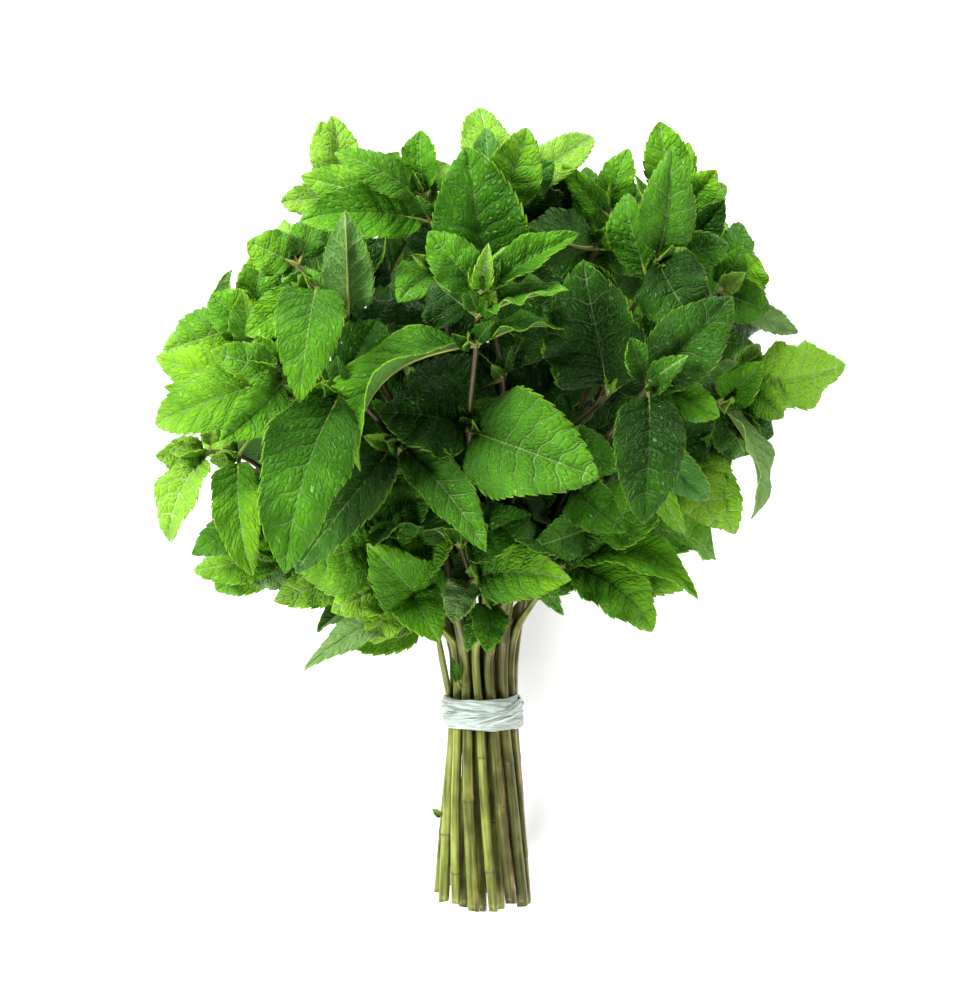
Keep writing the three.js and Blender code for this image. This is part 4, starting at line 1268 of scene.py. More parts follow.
@dataclass
class Stem:
    """One square stem from its cut end to its bud, with its leafless joints."""

    points: np.ndarray
    radii: np.ndarray
    shift: np.ndarray
    rings: tuple                     # places of the leafless joints, from the cut end
    pink: float
    seed: int
    shade: float = 1.0               # painted shade: how light it is for its place in the bundle
    sides: int = 16
    low_pitch: float = 2.4           # between rings of vertices below the neck and above it
    high_pitch: float = 4.5
    ring_steps: tuple = (-1.5, -0.7, -0.2, 0.2, 0.9, 1.8)     # more of them around a joint
    swelling: float = 0.11           # of a joint, as a share of the radius
    swelling_place: float = 0.6      # from the joint to the middle of its swelling
    swelling_length: float = 1.2
    line_place: float = -0.2         # from the joint to its dark line
    line_width: float = 0.4
    slim: float = 0.68               # how thin the stem gets among the leaves, by the solid's size
    slim_by: float = 1.35            # where it is that thin, as a multiple of the neck's place
    bud: float = 1.6                 # length of the bud at its end
    bud_end: float = 0.45            # its end's radius, as a share of the tip's
    uneven: float = 0.24             # how much thinner than its solid a stem may be
    girth: float = 0.88              # how far its sides are from its middle, and
    square: float = 0.1              # how far its corners stand out, as shares of the radius
    square_turn: float = 0.8
    cut_slope: float = 0.22          # of the cut end of the pinkest stem
    rest: float = 0.05               # the least height over the surface
    tones: tuple = (0.18, 0.52)      # the darkest stem, and how much lighter the lightest is
    head_tone: float = 0.1           # shares of the tone and the pink that are left in the head; the darker tone is partly painted shade
    head_pink: float = 0.3
    head_start: tuple = (1.2, 1.6)   # where they fade, as multiples of the neck's place
    pith_radius: float = 2.0         # the cut end's faces lie this near its middle
    rind: float = 0.3
    rind_slope: float = 0.35
    pith_depth: float = 0.2

    def stations(self, length: float, neck: float) -> np.ndarray:
        """Where the stem has a ring of vertices.

        Args:
            length: of the stem.
            neck: distance from its cut end to the neck.

        Returns:
            The rings' distances from the cut end.
        """
        low = np.arange(0, neck, self.low_pitch)
        high = np.linspace(neck, length, int((length - neck) / self.high_pitch) + 2)
        near = np.array([ring + step for ring in self.rings for step in self.ring_steps])
        return np.unique(np.round(np.concatenate((low, high, near)), 3))

    def joints(self, at: np.ndarray) -> tuple:
        """The leafless joints.

        Args:
            at: distances from the cut end.

        Returns:
            How many times thicker the stem is there, and how much of a joint's dark line it has.
        """
        thicker = np.ones_like(at)
        lines = np.zeros_like(at)
        for ring in self.rings:
            swell = (at - ring - self.swelling_place) / self.swelling_length
            thicker *= 1 + self.swelling * np.exp(-(swell**2))
            lines = np.maximum(lines, np.exp(-(((at - ring - self.line_place) / self.line_width) ** 2)))
        return thicker, lines

    @staticmethod
    def cross_ways(ways: np.ndarray) -> tuple:
        """Two directions square to each other and to the stem, that turn as little as they can.

        Args:
            ways: the stem's direction at each station.

        Returns:
            Both directions at each station.
        """
        sides = [np.array((1.0, 0.0, 0.0))]
        for way in ways:
            sides.append(unit(sides[-1] - way * np.dot(sides[-1], way)))
        sides = np.array(sides[1:])
        return sides, np.cross(ways, sides)

    def build(self, skin: bpy.types.Material, cut: bpy.types.Material) -> bpy.types.Object:
        """Makes the stem.

        Args:
            skin: the finish along its length.
            cut: the finish of its cut end.

        Returns:
            The stem as a closed mesh.
        """
        course = Course(self.points)
        number = np.array(self.seed)
        fine = np.linspace(0, 1, 600)
        walk = course.at(fine)
        run = np.concatenate(([0], np.cumsum(np.linalg.norm(np.diff(walk, axis=0), axis=1))))
        neck = float(np.interp(NECK_POINT / course.spans, fine, run))
        at = self.stations(run[-1], neck)
        place = np.interp(at, run, fine)
        centres, ways = course.at(place), course.way(place)
        radii = np.interp(place * course.spans, range(len(self.radii)), self.radii)
        radii *= 1 - self.uneven * scattered(number, 0.19)
        thicker, lines = self.joints(at)
        radii = radii * thicker * (1 - (1 - self.slim) * smooth_step(at, neck, neck * self.slim_by))
        centres = np.vstack((centres, centres[-1] + ways[-1] * self.bud))
        ways = np.vstack((ways, ways[-1]))
        radii = np.append(radii, STEM["tip"] * self.bud_end)
        at = np.append(at, run[-1] + self.bud)
        lines = np.append(lines, 0)
        sides, others = self.cross_ways(ways)
        obj = hose(self.sides, len(at) - 1)
        x, y, z = corners(obj).T
        ring = np.round(z * (len(at) - 1)).astype(int)
        angle = np.arctan2(y, x)
        profile = self.girth - self.square * np.cos(4 * angle + self.square_turn)
        slope = np.where(ring == 0, self.cut_slope * self.pink * np.cos(angle + self.seed), 0)
        reach = (radii[ring] * profile)[:, None]
        points = centres[ring] + reach * (
            sides[ring] * np.cos(angle)[:, None] + others[ring] * np.sin(angle)[:, None])
        points += ways[ring] * (slope * STEM["foot"])[:, None]
        points -= self.shift
        points[:, 2] = np.maximum(points[:, 2], self.rest)
        bend(obj, points)
        chance = scattered(number, 0.37)
        # darker in the head among the leaves: partly the stems' own colour, partly painted shade
        young = smooth_step(at[ring], *(neck * start for start in self.head_start))
        darkest, lighter = self.tones
        # painted shade: stems deep in the bundle are darker
        tone = self.shade * (darkest + lighter * scattered(number, 0.71))
        tone *= 1 - (1 - self.head_tone) * young
        pink = self.pink * (1 - (1 - self.head_pink) * young)
        mark(obj, "bark", np.column_stack((pink, tone, lines[ring], np.full_like(z, chance))))
        mark(obj, "grain_place", np.column_stack((
            np.cos(angle) * GRAIN_RADIUS, np.sin(angle) * GRAIN_RADIUS, at[ring] / 10 + self.seed)))
        close_ends(obj)
        dress(obj, skin, cut)
        self.finish_cut(obj, self.points[0] - self.shift)
        return obj

    def finish_cut(self, obj: bpy.types.Object, end: np.ndarray) -> None:
        """Sinks the pith of the cut end a little and gives it its own finish.

        Args:
            obj: the stem.
            end: the middle of its cut end.
        """
        select_only(obj)
        bpy.ops.object.mode_set(mode="EDIT")
        bpy.ops.mesh.select_mode(type="FACE")
        bpy.ops.mesh.select_all(action="DESELECT")
        bpy.ops.object.mode_set(mode="OBJECT")
        place = Vector(end * MM)
        for face in obj.data.polygons:
            near = (face.center - place).length < self.pith_radius * MM
            face.select = near and len(face.vertices) > 4
            if face.select:
                face.material_index = 1
        bpy.ops.object.mode_set(mode="EDIT")
        bpy.ops.mesh.inset(thickness=self.rind * MM, depth=0)
        bpy.ops.mesh.inset(thickness=self.rind_slope * MM, depth=-self.pith_depth * MM)
        bpy.ops.object.mode_set(mode="OBJECT")


# ---------------------------------------------------------------- the tie


@dataclass(frozen=True)
class Wrap:
    """One turn of film round the bundle, or a strand across its front."""

    stand: float                     # off the bundle
    width: float
    lift: float
    tilt: float
    phase: float
    folds: float
    span: tuple = (0.0, 2 * math.pi)           # its first and last angle
    climb: float = 0.0               # how far it climbs along the bundle over its span
    stems: int = 14                  # the outer stems, between which the film sinks in
    level: float = 1.5               # how far the front of a turn is pushed up along the stems
    crease: float = 0.24
    fine_crease: float = 0.08
    sink: float = 0.22               # between two stems
    edge_dip: float = 0.45
    tuck: float = 1.3                # how deep the ends of a strand run under the turns
    tuck_part: float = 0.14          # and over which share of it
    thickness: float = 0.1
    columns: int = 14                # of faces across the film
    rows_each: int = 24              # rows of faces for each radian

    def creases(self, x: np.ndarray, angle: np.ndarray) -> np.ndarray:
        """The broad folds along the film, from -1 to 1, with narrow crests."""
        wave = np.sin(self.folds * x + 1.6 * np.sin(angle + self.phase) + self.phase)
        return np.sign(wave) * np.abs(wave) ** 0.6

    def build(self, film: bpy.types.Material, inner: float, shift: np.ndarray) -> bpy.types.Object:
        """Makes the turn as a thin wrinkled sheet.

        Args:
            film: its finish.
            inner: the bundle's radius under the tie.
            shift: from the growers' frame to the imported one, in millimetres.

        Returns:
            The sheet as a closed mesh.
        """
        first, last = self.span
        obj = sheet(self.columns, int(self.rows_each * (last - first)))
        x, y, _ = corners(obj).T
        part = (y + 1) / 2
        angle = first + (last - first) * part
        pinch = 1 + 0.22 * np.sin(2 * angle + 2.3 * self.phase) + 0.1 * np.sin(5 * angle + self.phase)
        lift = self.lift + self.tilt * np.sin(angle + self.phase) + self.climb * (part - 0.5)
        lift += self.level * np.sin(angle) + x * self.width / 2 * pinch
        crease = self.creases(x, angle)
        fine = np.sin(self.folds * 2.3 * x - 1.3 * np.sin(2 * angle + self.phase))
        between = 0.5 - 0.5 * np.cos(self.stems * angle + self.phase * 0.3)
        out = inner + self.stand + self.crease * crease + self.fine_crease * fine
        out -= self.sink * between + self.edge_dip * x**4
        if self.climb:
            ends = smooth_step(part, 0, self.tuck_part) * smooth_step(1 - part, 0, self.tuck_part)
            out -= self.tuck * (1 - ends)
        side = out * np.sin(angle)
        points = np.column_stack((
            out * np.cos(angle),
            TIE_Y - side * math.sin(AXIS_ANGLE) + lift * math.cos(AXIS_ANGLE),
            axis_height(TIE_Y) + side * math.cos(AXIS_ANGLE) + lift * math.sin(AXIS_ANGLE),
        ))
        bend(obj, points - shift)
        mark(obj, "film", np.column_stack((x * self.width / 20 + self.phase, angle * 0.3, crease * 0.02)))
        with editing(obj):
            bpy.ops.mesh.remove_doubles(threshold=0.002 * MM)
            bpy.ops.mesh.normals_make_consistent(inside=False)
        dress(obj, film)
        apply_modifier(obj, "SOLIDIFY", thickness=self.thickness * MM, offset=0.0)
        return obj


@dataclass
class Tie:
    """The film twine wound round the stems, with slanting strands and a few loose fibres."""

    shift: np.ndarray
    inner: float = 11.55             # the bundle's radius under it
    turns: tuple = (
        Wrap(stand=0.1, width=4.8, lift=2.2, tilt=0.5, phase=0.4, folds=3.0),
        Wrap(stand=0.25, width=4.6, lift=-2.2, tilt=-0.5, phase=1.9, folds=2.6),
        Wrap(stand=0.2, width=3.8, lift=0.2, tilt=0.35, phase=3.1, folds=3.4),
        Wrap(stand=0.5, width=3.0, lift=2.9, tilt=0.7, phase=5.0, folds=2.2),
        Wrap(stand=0.6, width=3.0, lift=-2.9, tilt=-0.5, phase=0.9, folds=2.4),
        Wrap(stand=0.52, width=2.4, lift=1.3, tilt=-1.3, phase=2.5, folds=2.0),
        Wrap(stand=0.58, width=2.2, lift=-1.1, tilt=1.2, phase=4.1, folds=2.2),
        Wrap(stand=0.72, width=1.6, lift=2.2, tilt=-1.5, phase=0.2, folds=1.8),
        Wrap(stand=0.76, width=1.4, lift=-0.4, tilt=1.7, phase=5.6, folds=2.0),
    )
    strands: tuple = (
        Wrap(stand=1.05, width=2.5, lift=0.2, tilt=0.2, phase=0.7, folds=4.2, span=(0.15, 2.25), climb=-7.4),
        Wrap(stand=0.95, width=1.9, lift=-1.0, tilt=0.2, phase=2.2, folds=3.4, span=(0.2, 1.9), climb=-5.0),
        Wrap(stand=0.95, width=1.4, lift=0.6, tilt=0.2, phase=4.2, folds=3.0, span=(0.6, 3.0), climb=-3.8),
    )
    fibres: int = 14
    fibre_radius: float = 0.06
    fibre_stand: float = 0.8         # of its ends, off the bundle

    def build(self, film: bpy.types.Material) -> bpy.types.Object:
        """Winds the film and joins it into one piece.

        Args:
            film: its finish.

        Returns:
            The piece.
        """
        pieces = [wrap.build(film, self.inner, self.shift) for wrap in self.turns + self.strands]
        pieces += [self.fibre(index, film) for index in range(self.fibres)]
        return joined("tie_film", pieces)

    def fibre(self, index: int, film: bpy.types.Material) -> bpy.types.Object:
        """One loose fibre that stands a little off the left side.

        Args:
            index: which fibre it is.
            film: its finish.

        Returns:
            The fibre as a closed mesh.
        """
        random = Draws(900 + index)
        obj = hose(4, 14)
        x, y, z = corners(obj).T
        angle = math.pi * random.about(0.92, 0.12) + (z - 0.5) * random.about(0.5, 0.2)
        bow = random.about(1.3, 0.9) * np.sin(np.pi * z) ** 1.5
        lift = random.about(-1.5, 3.2) + random.about(5, 3) * (z - 0.5) * (-1 if index % 2 else 1)
        radius = self.fibre_radius
        out = self.inner + self.fibre_stand + bow + x * radius
        side = out * np.sin(angle)
        points = np.column_stack((
            out * np.cos(angle),
            TIE_Y - side * math.sin(AXIS_ANGLE) + lift,
            axis_height(TIE_Y) + side * math.cos(AXIS_ANGLE) + lift * AXIS_RISE + y * radius,
        ))
        bend(obj, points - self.shift)
        mark(obj, "film", np.column_stack((x * 0.01, z, y)))
        close_ends(obj)
        dress(obj, film)
        return obj


# ---------------------------------------------------------------- finishes

VEIN = 0.06                      # half a side vein's width at the midrib, as a share of the pitch
VEIN_TAPER = 0.035               # how much thinner it is at the edge
CELLS_BETWEEN = 2.8              # cells of the net from one side vein to the next
CELL = 1.8                       # their length along the veins, in millimetres
FINE_CELLS = 2.1                 # how many times smaller the cells of the fine net are


class Net:
    """The nodes of one material or group, added and wired by short calls."""

    def __init__(self, tree: bpy.types.NodeTree) -> None:
        """Takes the tree to build in and empties it."""
        self.tree = tree
        tree.nodes.clear()

    def add(self, kind: str, inputs: dict | None = None, **settings: object) -> bpy.types.Node:
        """Adds a node.

        Args:
            kind: its type, without the leading ShaderNode.
            inputs: socket names or numbers, each with a value or a socket to link.
            **settings: the node's own settings.

        Returns:
            The node.
        """
        node = self.tree.nodes.new(kind if kind.startswith("NodeGroup") else "ShaderNode" + kind)
        node.location = (200 * (len(self.tree.nodes) % 9), -220 * (len(self.tree.nodes) // 9))
        for name, value in settings.items():
            setattr(node, name, value)
        for name, value in (inputs or {}).items():
            if isinstance(value, bpy.types.NodeSocket):
                self.tree.links.new(value, node.inputs[name])
            else:
                node.inputs[name].default_value = value
        return node

    def math(self, operation: str, first: object, second: object = 0.0) -> bpy.types.NodeSocket:
        """A calculation on one or two values."""
        return self.add("Math", {0: first, 1: second}, operation=operation).outputs[0]

    def step(self, value: object, low: float, high: float) -> bpy.types.NodeSocket:
        """0 at low, 1 at high and an even ease between; low may be above high."""
        ends = {"Value": value, "From Min": low, "From Max": high}
        return self.add("MapRange", ends, interpolation_type="SMOOTHSTEP").outputs[0]

    def blend(self, factor: object, first: object, second: object) -> bpy.types.NodeSocket:
        """A colour between two."""
        return self.add("Mix", {0: factor, 6: first, 7: second}, data_type="RGBA").outputs[2]

    def ramp(self, value: object, stops: tuple) -> bpy.types.NodeSocket:
        """A colour along a row of stops.

        Args:
            value: where to read the colour, from 0 to 1.
            stops: the places and their colours.

        Returns:
            The colour.
        """
        node = self.add("ValToRGB", {0: value})
        elements = node.color_ramp.elements
        while len(elements) < len(stops):
            elements.new(0.5)
        for element, (place, colour) in zip(elements, stops):
            element.position = place
            element.color = (*colour, 1)
        return node.outputs[0]

    def split(self, vector: object) -> tuple:
        """The three parts of a vector."""
        return tuple(self.add("SeparateXYZ", {0: vector}).outputs)

    def join(self, x: object, y: object, z: object) -> bpy.types.NodeSocket:
        """A vector of three parts."""
        return self.add("CombineXYZ", {0: x, 1: y, 2: z}).outputs[0]

    def scaled(self, vector: object, by: tuple) -> bpy.types.NodeSocket:
        """A vector with each part multiplied."""
        return self.add("VectorMath", {0: vector, 1: by}, operation="MULTIPLY").outputs[0]

    def noise(self, vector: object, scale: float, detail: float = 3.0) -> bpy.types.NodeSocket:
        """A soft random pattern from 0 to 1."""
        return self.add("TexNoise", {"Vector": vector, "Scale": scale, "Detail": detail}).outputs[0]

    def kept(self, name: str) -> bpy.types.Node:
        """Numbers that the mesh keeps at each vertex."""
        return self.add("Attribute", attribute_name=name)

    def bump(self, height: object, distance: float, strength: float = 1.0) -> bpy.types.NodeSocket:
        """Fine relief from a height of 0 to 1 that stands for a distance in metres."""
        inputs = {"Height": height, "Distance": distance, "Strength": strength}
        return self.add("Bump", inputs).outputs[0]

    def group(self, tree: bpy.types.NodeTree, inputs: dict) -> bpy.types.Node:
        """Places a node group."""
        return self.add("Group", inputs, node_tree=tree)


def new_group(name: str, inputs: dict, outputs: tuple) -> tuple:
    """Starts a node group.

    Args:
        name: its name.
        inputs: input names, each with its socket type.
        outputs: names of outputs, all floats.

    Returns:
        The group, its Net, its input node and its output node.
    """
    tree = bpy.data.node_groups.new(name, "ShaderNodeTree")
    for label, kind in inputs.items():
        tree.interface.new_socket(name=label, in_out="INPUT", socket_type="NodeSocket" + kind)
    for label in outputs:
        tree.interface.new_socket(name=label, in_out="OUTPUT", socket_type="NodeSocketFloat")
    net = Net(tree)
    return tree, net, net.add("NodeGroupInput"), net.add("NodeGroupOutput")


def venation_group() -> bpy.types.NodeTree:
    """The pattern of a mint leaf: midrib, side veins, the net between its bulges, and a fine net.

    Returns:
        The node group.
    """
    tree, net, given, out = new_group(
        "Mint venation", {"Place": "Vector", "Flat place": "Vector"},
        ("Rib", "Veins", "Net", "Fine net", "Domes"))
    side, phase, _ = net.split(given.outputs["Place"])
    reach, _, turn = net.split(given.outputs["Flat place"])
    far = net.math("ABSOLUTE", reach)
    sway = net.math("SINE", net.math("ADD", net.math("MULTIPLY", far, SWAY_RATE), turn))
    row = net.math("ADD", phase, net.math("MULTIPLY", sway, SWAY))
    thinner = net.math("MULTIPLY", net.math("ABSOLUTE", side), VEIN_TAPER)
    veins = net.math("DIVIDE", net.math("PINGPONG", row, 0.5), net.math("SUBTRACT", VEIN, thinner))
    half_shift = net.math("MULTIPLY", net.math("SIGN", reach), PATTERN_SHIFT)
    across = net.math("ADD", net.math("DIVIDE", far, CELL), net.math("ADD", half_shift, turn))
    place = net.join(net.math("MULTIPLY", row, CELLS_BETWEEN), across, 0.0)
    edges, fine_edges = (
        net.add("TexVoronoi", {"Vector": place, "Scale": scale, "Randomness": 0.85},
                voronoi_dimensions="2D", feature="DISTANCE_TO_EDGE").outputs[0]
        for scale in (1.0, FINE_CELLS)
    )
    domes = net.math("MULTIPLY", net.step(edges, -0.06, 0.3), net.step(veins, -0.5, 3.0))
    for name, value in (
        ("Rib", net.step(far, 0.45, 0.12)),
        ("Veins", net.step(veins, 1.0, 0.3)),
        ("Net", net.step(edges, 0.07, 0.02)),
        ("Fine net", net.step(fine_edges, 0.12, 0.03)),
        ("Domes", domes),
    ):
        net.tree.links.new(value, out.inputs[name])
    return tree


def grain_group() -> bpy.types.NodeTree:
    """Streaks and patches that run along a stem, a stalk or a film.

    Returns:
        The node group.
    """
    tree, net, given, out = new_group(
        "Long grain", {"Place": "Vector", "Stretch": "Vector", "Chance": "Float"},
        ("Streaks", "Patches", "Specks"))
    moved = net.join(0.0, 0.0, net.math("MULTIPLY", given.outputs["Chance"], 19.0))
    place = net.add("VectorMath", {0: given.outputs["Place"], 1: moved}, operation="ADD").outputs[0]
    long = net.add("VectorMath", {0: place, 1: given.outputs["Stretch"]}, operation="MULTIPLY")
    net.tree.links.new(net.noise(long.outputs[0], 9.0, 4.0), out.inputs["Streaks"])
    net.tree.links.new(net.noise(place, 1.6, 2.0), out.inputs["Patches"])
    specks = net.add("TexVoronoi", {"Vector": place, "Scale": 13.0}).outputs[0]
    net.tree.links.new(net.step(specks, 0.24, 0.1), out.inputs["Specks"])
    return tree


def material(name: str) -> tuple:
    """Starts a material.

    Args:
        name: its name.

    Returns:
        The material, its Net and its output node.
    """
    made = bpy.data.materials.new(name)
    made.use_nodes = True
    net = Net(made.node_tree)
    return made, net, net.add("OutputMaterial")


@dataclass(frozen=True)
class LeafSkin:
    """One side of a mint leaf: colours from dark to lime, and how strongly its veins show."""

    name: str
    greens: tuple
    blue: tuple
    pale: tuple
    vein: tuple
    # tint of the painted light along the rim, and of the light that passes through
    rim_light_and_through: tuple
    rib: float                       # shares of the vein colour, on a dark leaf
    veins: float
    net: float
    gloss: float
    sheen: tuple                     # tint of the gloss
    relief: float                    # metres
    roughness: float
    through: tuple                   # shares of light that pass through a dark and a lime leaf
    patch_size: float = 60.0         # patches to a metre
    patches: float = 0.7             # how much they change how light the green is
    painted_dome_light: float = 0.1          # painted highlight: how much lighter green the bulges are
    grain_size: float = 1300.0
    grain: float = 0.1               # share of the relief
    furrows: tuple = (("Fine net", 0.3), ("Veins", 0.6), ("Rib", 0.6))         # and of what is sunk
    fine_net: float = 0.4            # how strong the fine net is beside the net
    lime_veins: float = 0.5          # the least that veins show on a lime leaf
    warmth: float = 0.35             # of the light that passes through

    def veined(self, net: Net, colour: object, veins: object, tone: object, chance: object) -> object:
        """Draws the veins over the green, clearest on lime leaves.

        Args:
            net: the material's nodes.
            colour: the green.
            veins: the outputs of the venation group.
            tone: how light the leaf is.
            chance: the leaf's own number from 0 to 1, for how clearly its veins show.

        Returns:
            The colour with its veins.
        """
        lime = net.step(tone, 0.78, 0.95)
        shows = net.math("ADD", 0.3, net.math("MULTIPLY", chance, 1.5))
        for name, share in (("Fine net", self.net * self.fine_net), ("Net", self.net),
                            ("Veins", self.veins), ("Rib", self.rib)):
            on_dark = net.math("MULTIPLY", net.math("MULTIPLY", share, shows), net.math("ADD", 0.4, tone))
            on_lime = net.math("MULTIPLY", lime, self.lime_veins - share * 0.6)
            amount = net.math("ADD", on_dark, on_lime)
            if name == "Fine net":
                amount = net.math("MULTIPLY", amount, self.fine_net)
            colour = net.blend(net.math("MULTIPLY", veins[name], amount), colour, (*self.vein, 1))
        return colour

    def make(self, venation: bpy.types.NodeTree) -> bpy.types.Material:
        """Makes the material.

        Args:
            venation: the group that draws a leaf's veins.

        Returns:
            The material.
        """
        made, net, output = material(self.name)
        mood = net.kept("mood")
        tone, blue, pale = net.add("SeparateColor", {0: mood.outputs["Color"]}).outputs
        place = net.kept("venation").outputs["Vector"]
        flat = net.kept("leaf_place").outputs["Vector"]
        veins = net.group(venation, {"Place": place, "Flat place": flat}).outputs
        spot = net.add("TexCoord").outputs["Object"]
        patch = net.math("SUBTRACT", net.noise(spot, self.patch_size, 3.0), 0.5)
        light = net.math("ADD", tone, net.math("MULTIPLY", patch, self.patches))
        # painted highlight: the bulges get a lighter green
        dome = net.math("SUBTRACT", veins["Domes"], 0.55)
        light = net.math("ADD", light, net.math("MULTIPLY", dome, self.painted_dome_light))
        colour = net.ramp(light, self.greens)
        colour = net.blend(blue, colour, net.ramp(light, self.blue))
        colour = net.blend(pale, colour, (*self.pale, 1))
        colour = self.veined(net, colour, veins, tone, mood.outputs["Alpha"])
        # painted light: a pale rim along the edge, stronger on lighter leaves
        rim = net.step(net.math("ABSOLUTE", net.split(place)[0]), 0.96, 1.0)
        rim = net.math("MULTIPLY", rim, net.math("ADD", 0.2, net.math("MULTIPLY", tone, 0.5)))
        colour = net.blend(rim, colour, (*self.rim_light_and_through, 1))
        fine = net.noise(spot, self.grain_size, 2.0)
        height = net.math("ADD", veins["Domes"], net.math("MULTIPLY", fine, self.grain))
        for name, depth in self.furrows:
            height = net.math("SUBTRACT", height, net.math("MULTIPLY", veins[name], depth))
        normal = net.bump(height, self.relief)
        rough = net.math("SUBTRACT", self.roughness, net.math("MULTIPLY", dome, 0.12))
        skin = net.add("BsdfPrincipled", {"Base Color": colour, "Roughness": rough, "Normal": normal})
        skin.inputs["Specular IOR Level"].default_value = self.gloss
        skin.inputs["Specular Tint"].default_value = (*self.sheen, 1)
        warm = net.blend(self.warmth, colour, (*self.rim_light_and_through, 1))
        leak = net.add("BsdfTranslucent", {"Color": warm, "Normal": normal})
        dark_share, lime_share = self.through
        share = net.math("ADD", dark_share, net.math("MULTIPLY", tone, lime_share - dark_share))
        both = net.add("MixShader", {0: share, 1: skin.outputs[0], 2: leak.outputs[0]})
        net.tree.links.new(both.outputs[0], output.inputs[0])
        return made


UPPER = LeafSkin(
    name="mint leaf upper side",
    greens=((0.0, (0.003, 0.03, 0.001)), (0.35, (0.026, 0.128, 0.002)),
            (0.65, (0.09, 0.31, 0.008)), (1.0, (0.27, 0.58, 0.01))),
    blue=((0.1, (0.008, 0.06, 0.01)), (0.9, (0.08, 0.28, 0.05))),
    pale=(0.22, 0.38, 0.12),
    vein=(0.58, 0.8, 0.32),
    rim_light_and_through=(0.4, 0.7, 0.03),
    rib=0.22,
    veins=0.16,
    net=0.1,
    gloss=0.24,
    sheen=(0.6, 0.97, 0.35),
    relief=0.00036,
    roughness=0.34,
    through=(0.1, 0.42),
)
UNDER = LeafSkin(
    name="mint leaf underside",
    greens=((0.0, (0.04, 0.13, 0.02)), (0.5, (0.09, 0.25, 0.04)), (1.0, (0.2, 0.42, 0.07))),
    blue=((0.1, (0.04, 0.13, 0.04)), (0.9, (0.13, 0.3, 0.12))),
    pale=(0.19, 0.33, 0.13),
    vein=(0.31, 0.47, 0.17),
    rim_light_and_through=(0.3, 0.55, 0.06),
    rib=0.7,
    veins=0.55,
    net=0.3,
    gloss=0.25,
    sheen=(0.75, 0.85, 0.5),
    relief=-0.0004,
    roughness=0.55,
    through=(0.14, 0.35),
)


@dataclass(frozen=True)
class StemSkin:
    """The finish of stems and stalks: green and straw streaks, brown-pink along one side."""

    greens: tuple = ((0.0, (0.024, 0.014, 0.006)), (0.3, (0.075, 0.087, 0.018)),
                     (0.65, (0.235, 0.28, 0.054)), (1.0, (0.49, 0.53, 0.22)))
    pink: tuple = (0.37, 0.2, 0.08)
    sheen: tuple = (0.95, 0.85, 0.6)
    dark: tuple = (0.05, 0.035, 0.012)
    speck: tuple = (0.07, 0.045, 0.015)
    side: tuple = (3.1, 3.1, 0.0)    # the side that browns, on places GRAIN_RADIUS from the middle
    streaks: float = 0.9             # how much streaks and patches change how light the green is
    patches: float = 0.5
    gloss: float = 0.35
    relief: float = 0.00018          # metres

    def make(self, grain: bpy.types.NodeTree) -> bpy.types.Material:
        """Makes the material.

        Args:
            grain: the group that draws streaks and patches.

        Returns:
            The material.
        """
        made, net, output = material("mint stem skin")
        bark = net.kept("bark")
        pink, tone, ring = net.add("SeparateColor", {0: bark.outputs["Color"]}).outputs
        place = net.kept("grain_place").outputs["Vector"]
        lines = net.group(grain, {"Place": place, "Stretch": (1.0, 1.0, 0.07),
                                  "Chance": bark.outputs["Alpha"]}).outputs
        streak = net.math("SUBTRACT", lines["Streaks"], 0.5)
        patch = net.math("SUBTRACT", lines["Patches"], 0.5)
        light = net.math("ADD", tone, net.math("MULTIPLY", streak, self.streaks))
        light = net.math("ADD", light, net.math("MULTIPLY", patch, self.patches))
        colour = net.ramp(light, self.greens)
        lean = net.add("VectorMath", {0: place, 1: self.side}, operation="DOT_PRODUCT").outputs["Value"]
        lean = net.math("ADD", lean, net.math("MULTIPLY", streak, 2.0))
        lean = net.math("ADD", lean, net.math("MULTIPLY", patch, 4.0))
        blush = net.math("MULTIPLY", net.step(lean, -0.1, 1.2), pink)
        colour = net.blend(blush, colour, (*self.pink, 1))
        colour = net.blend(net.math("MULTIPLY", lines["Specks"], 0.4), colour, (*self.speck, 1))
        colour = net.blend(net.math("MULTIPLY", ring, 0.75), colour, (*self.dark, 1))
        height = net.math("SUBTRACT", lines["Streaks"], net.math("MULTIPLY", ring, 0.25))
        skin = net.add("BsdfPrincipled", {
            "Base Color": colour,
            "Roughness": net.math("ADD", 0.3, net.math("MULTIPLY", lines["Patches"], 0.2)),
            "Normal": net.bump(height, self.relief),
        })
        skin.inputs["Specular IOR Level"].default_value = self.gloss
        skin.inputs["Specular Tint"].default_value = (*self.sheen, 1)
        net.tree.links.new(skin.outputs[0], output.inputs[0])
        return made


@dataclass(frozen=True)
class CutEnd:
    """The fresh cut of a stem: pale pith in a greener ring, browned in spots."""

    pith: tuple = (0.62, 0.62, 0.34)
    ring: tuple = (0.42, 0.44, 0.14)
    browned: tuple = (0.3, 0.19, 0.08)
    relief: float = 0.0002           # metres
    roughness: float = 0.62

    def make(self, grain: bpy.types.NodeTree) -> bpy.types.Material:
        """Makes the material.

        Args:
            grain: the group that draws streaks and patches.

        Returns:
            The material.
        """
        made, net, output = material("cut mint stem")
        bark = net.kept("bark")
        spot = net.add("TexCoord").outputs["Object"]
        lines = net.group(grain, {"Place": net.scaled(spot, (100.0, 100.0, 100.0)),
                                  "Stretch": (1.0, 1.0, 1.0), "Chance": bark.outputs["Alpha"]}).outputs
        colour = net.blend(net.step(lines["Streaks"], 0.35, 0.65), (*self.ring, 1), (*self.pith, 1))
        colour = net.blend(net.step(lines["Patches"], 0.52, 0.75), colour, (*self.browned, 1))
        skin = net.add("BsdfPrincipled", {
            "Base Color": colour, "Normal": net.bump(lines["Streaks"], self.relief)})
        skin.inputs["Roughness"].default_value = self.roughness
        net.tree.links.new(skin.outputs[0], output.inputs[0])
        return made


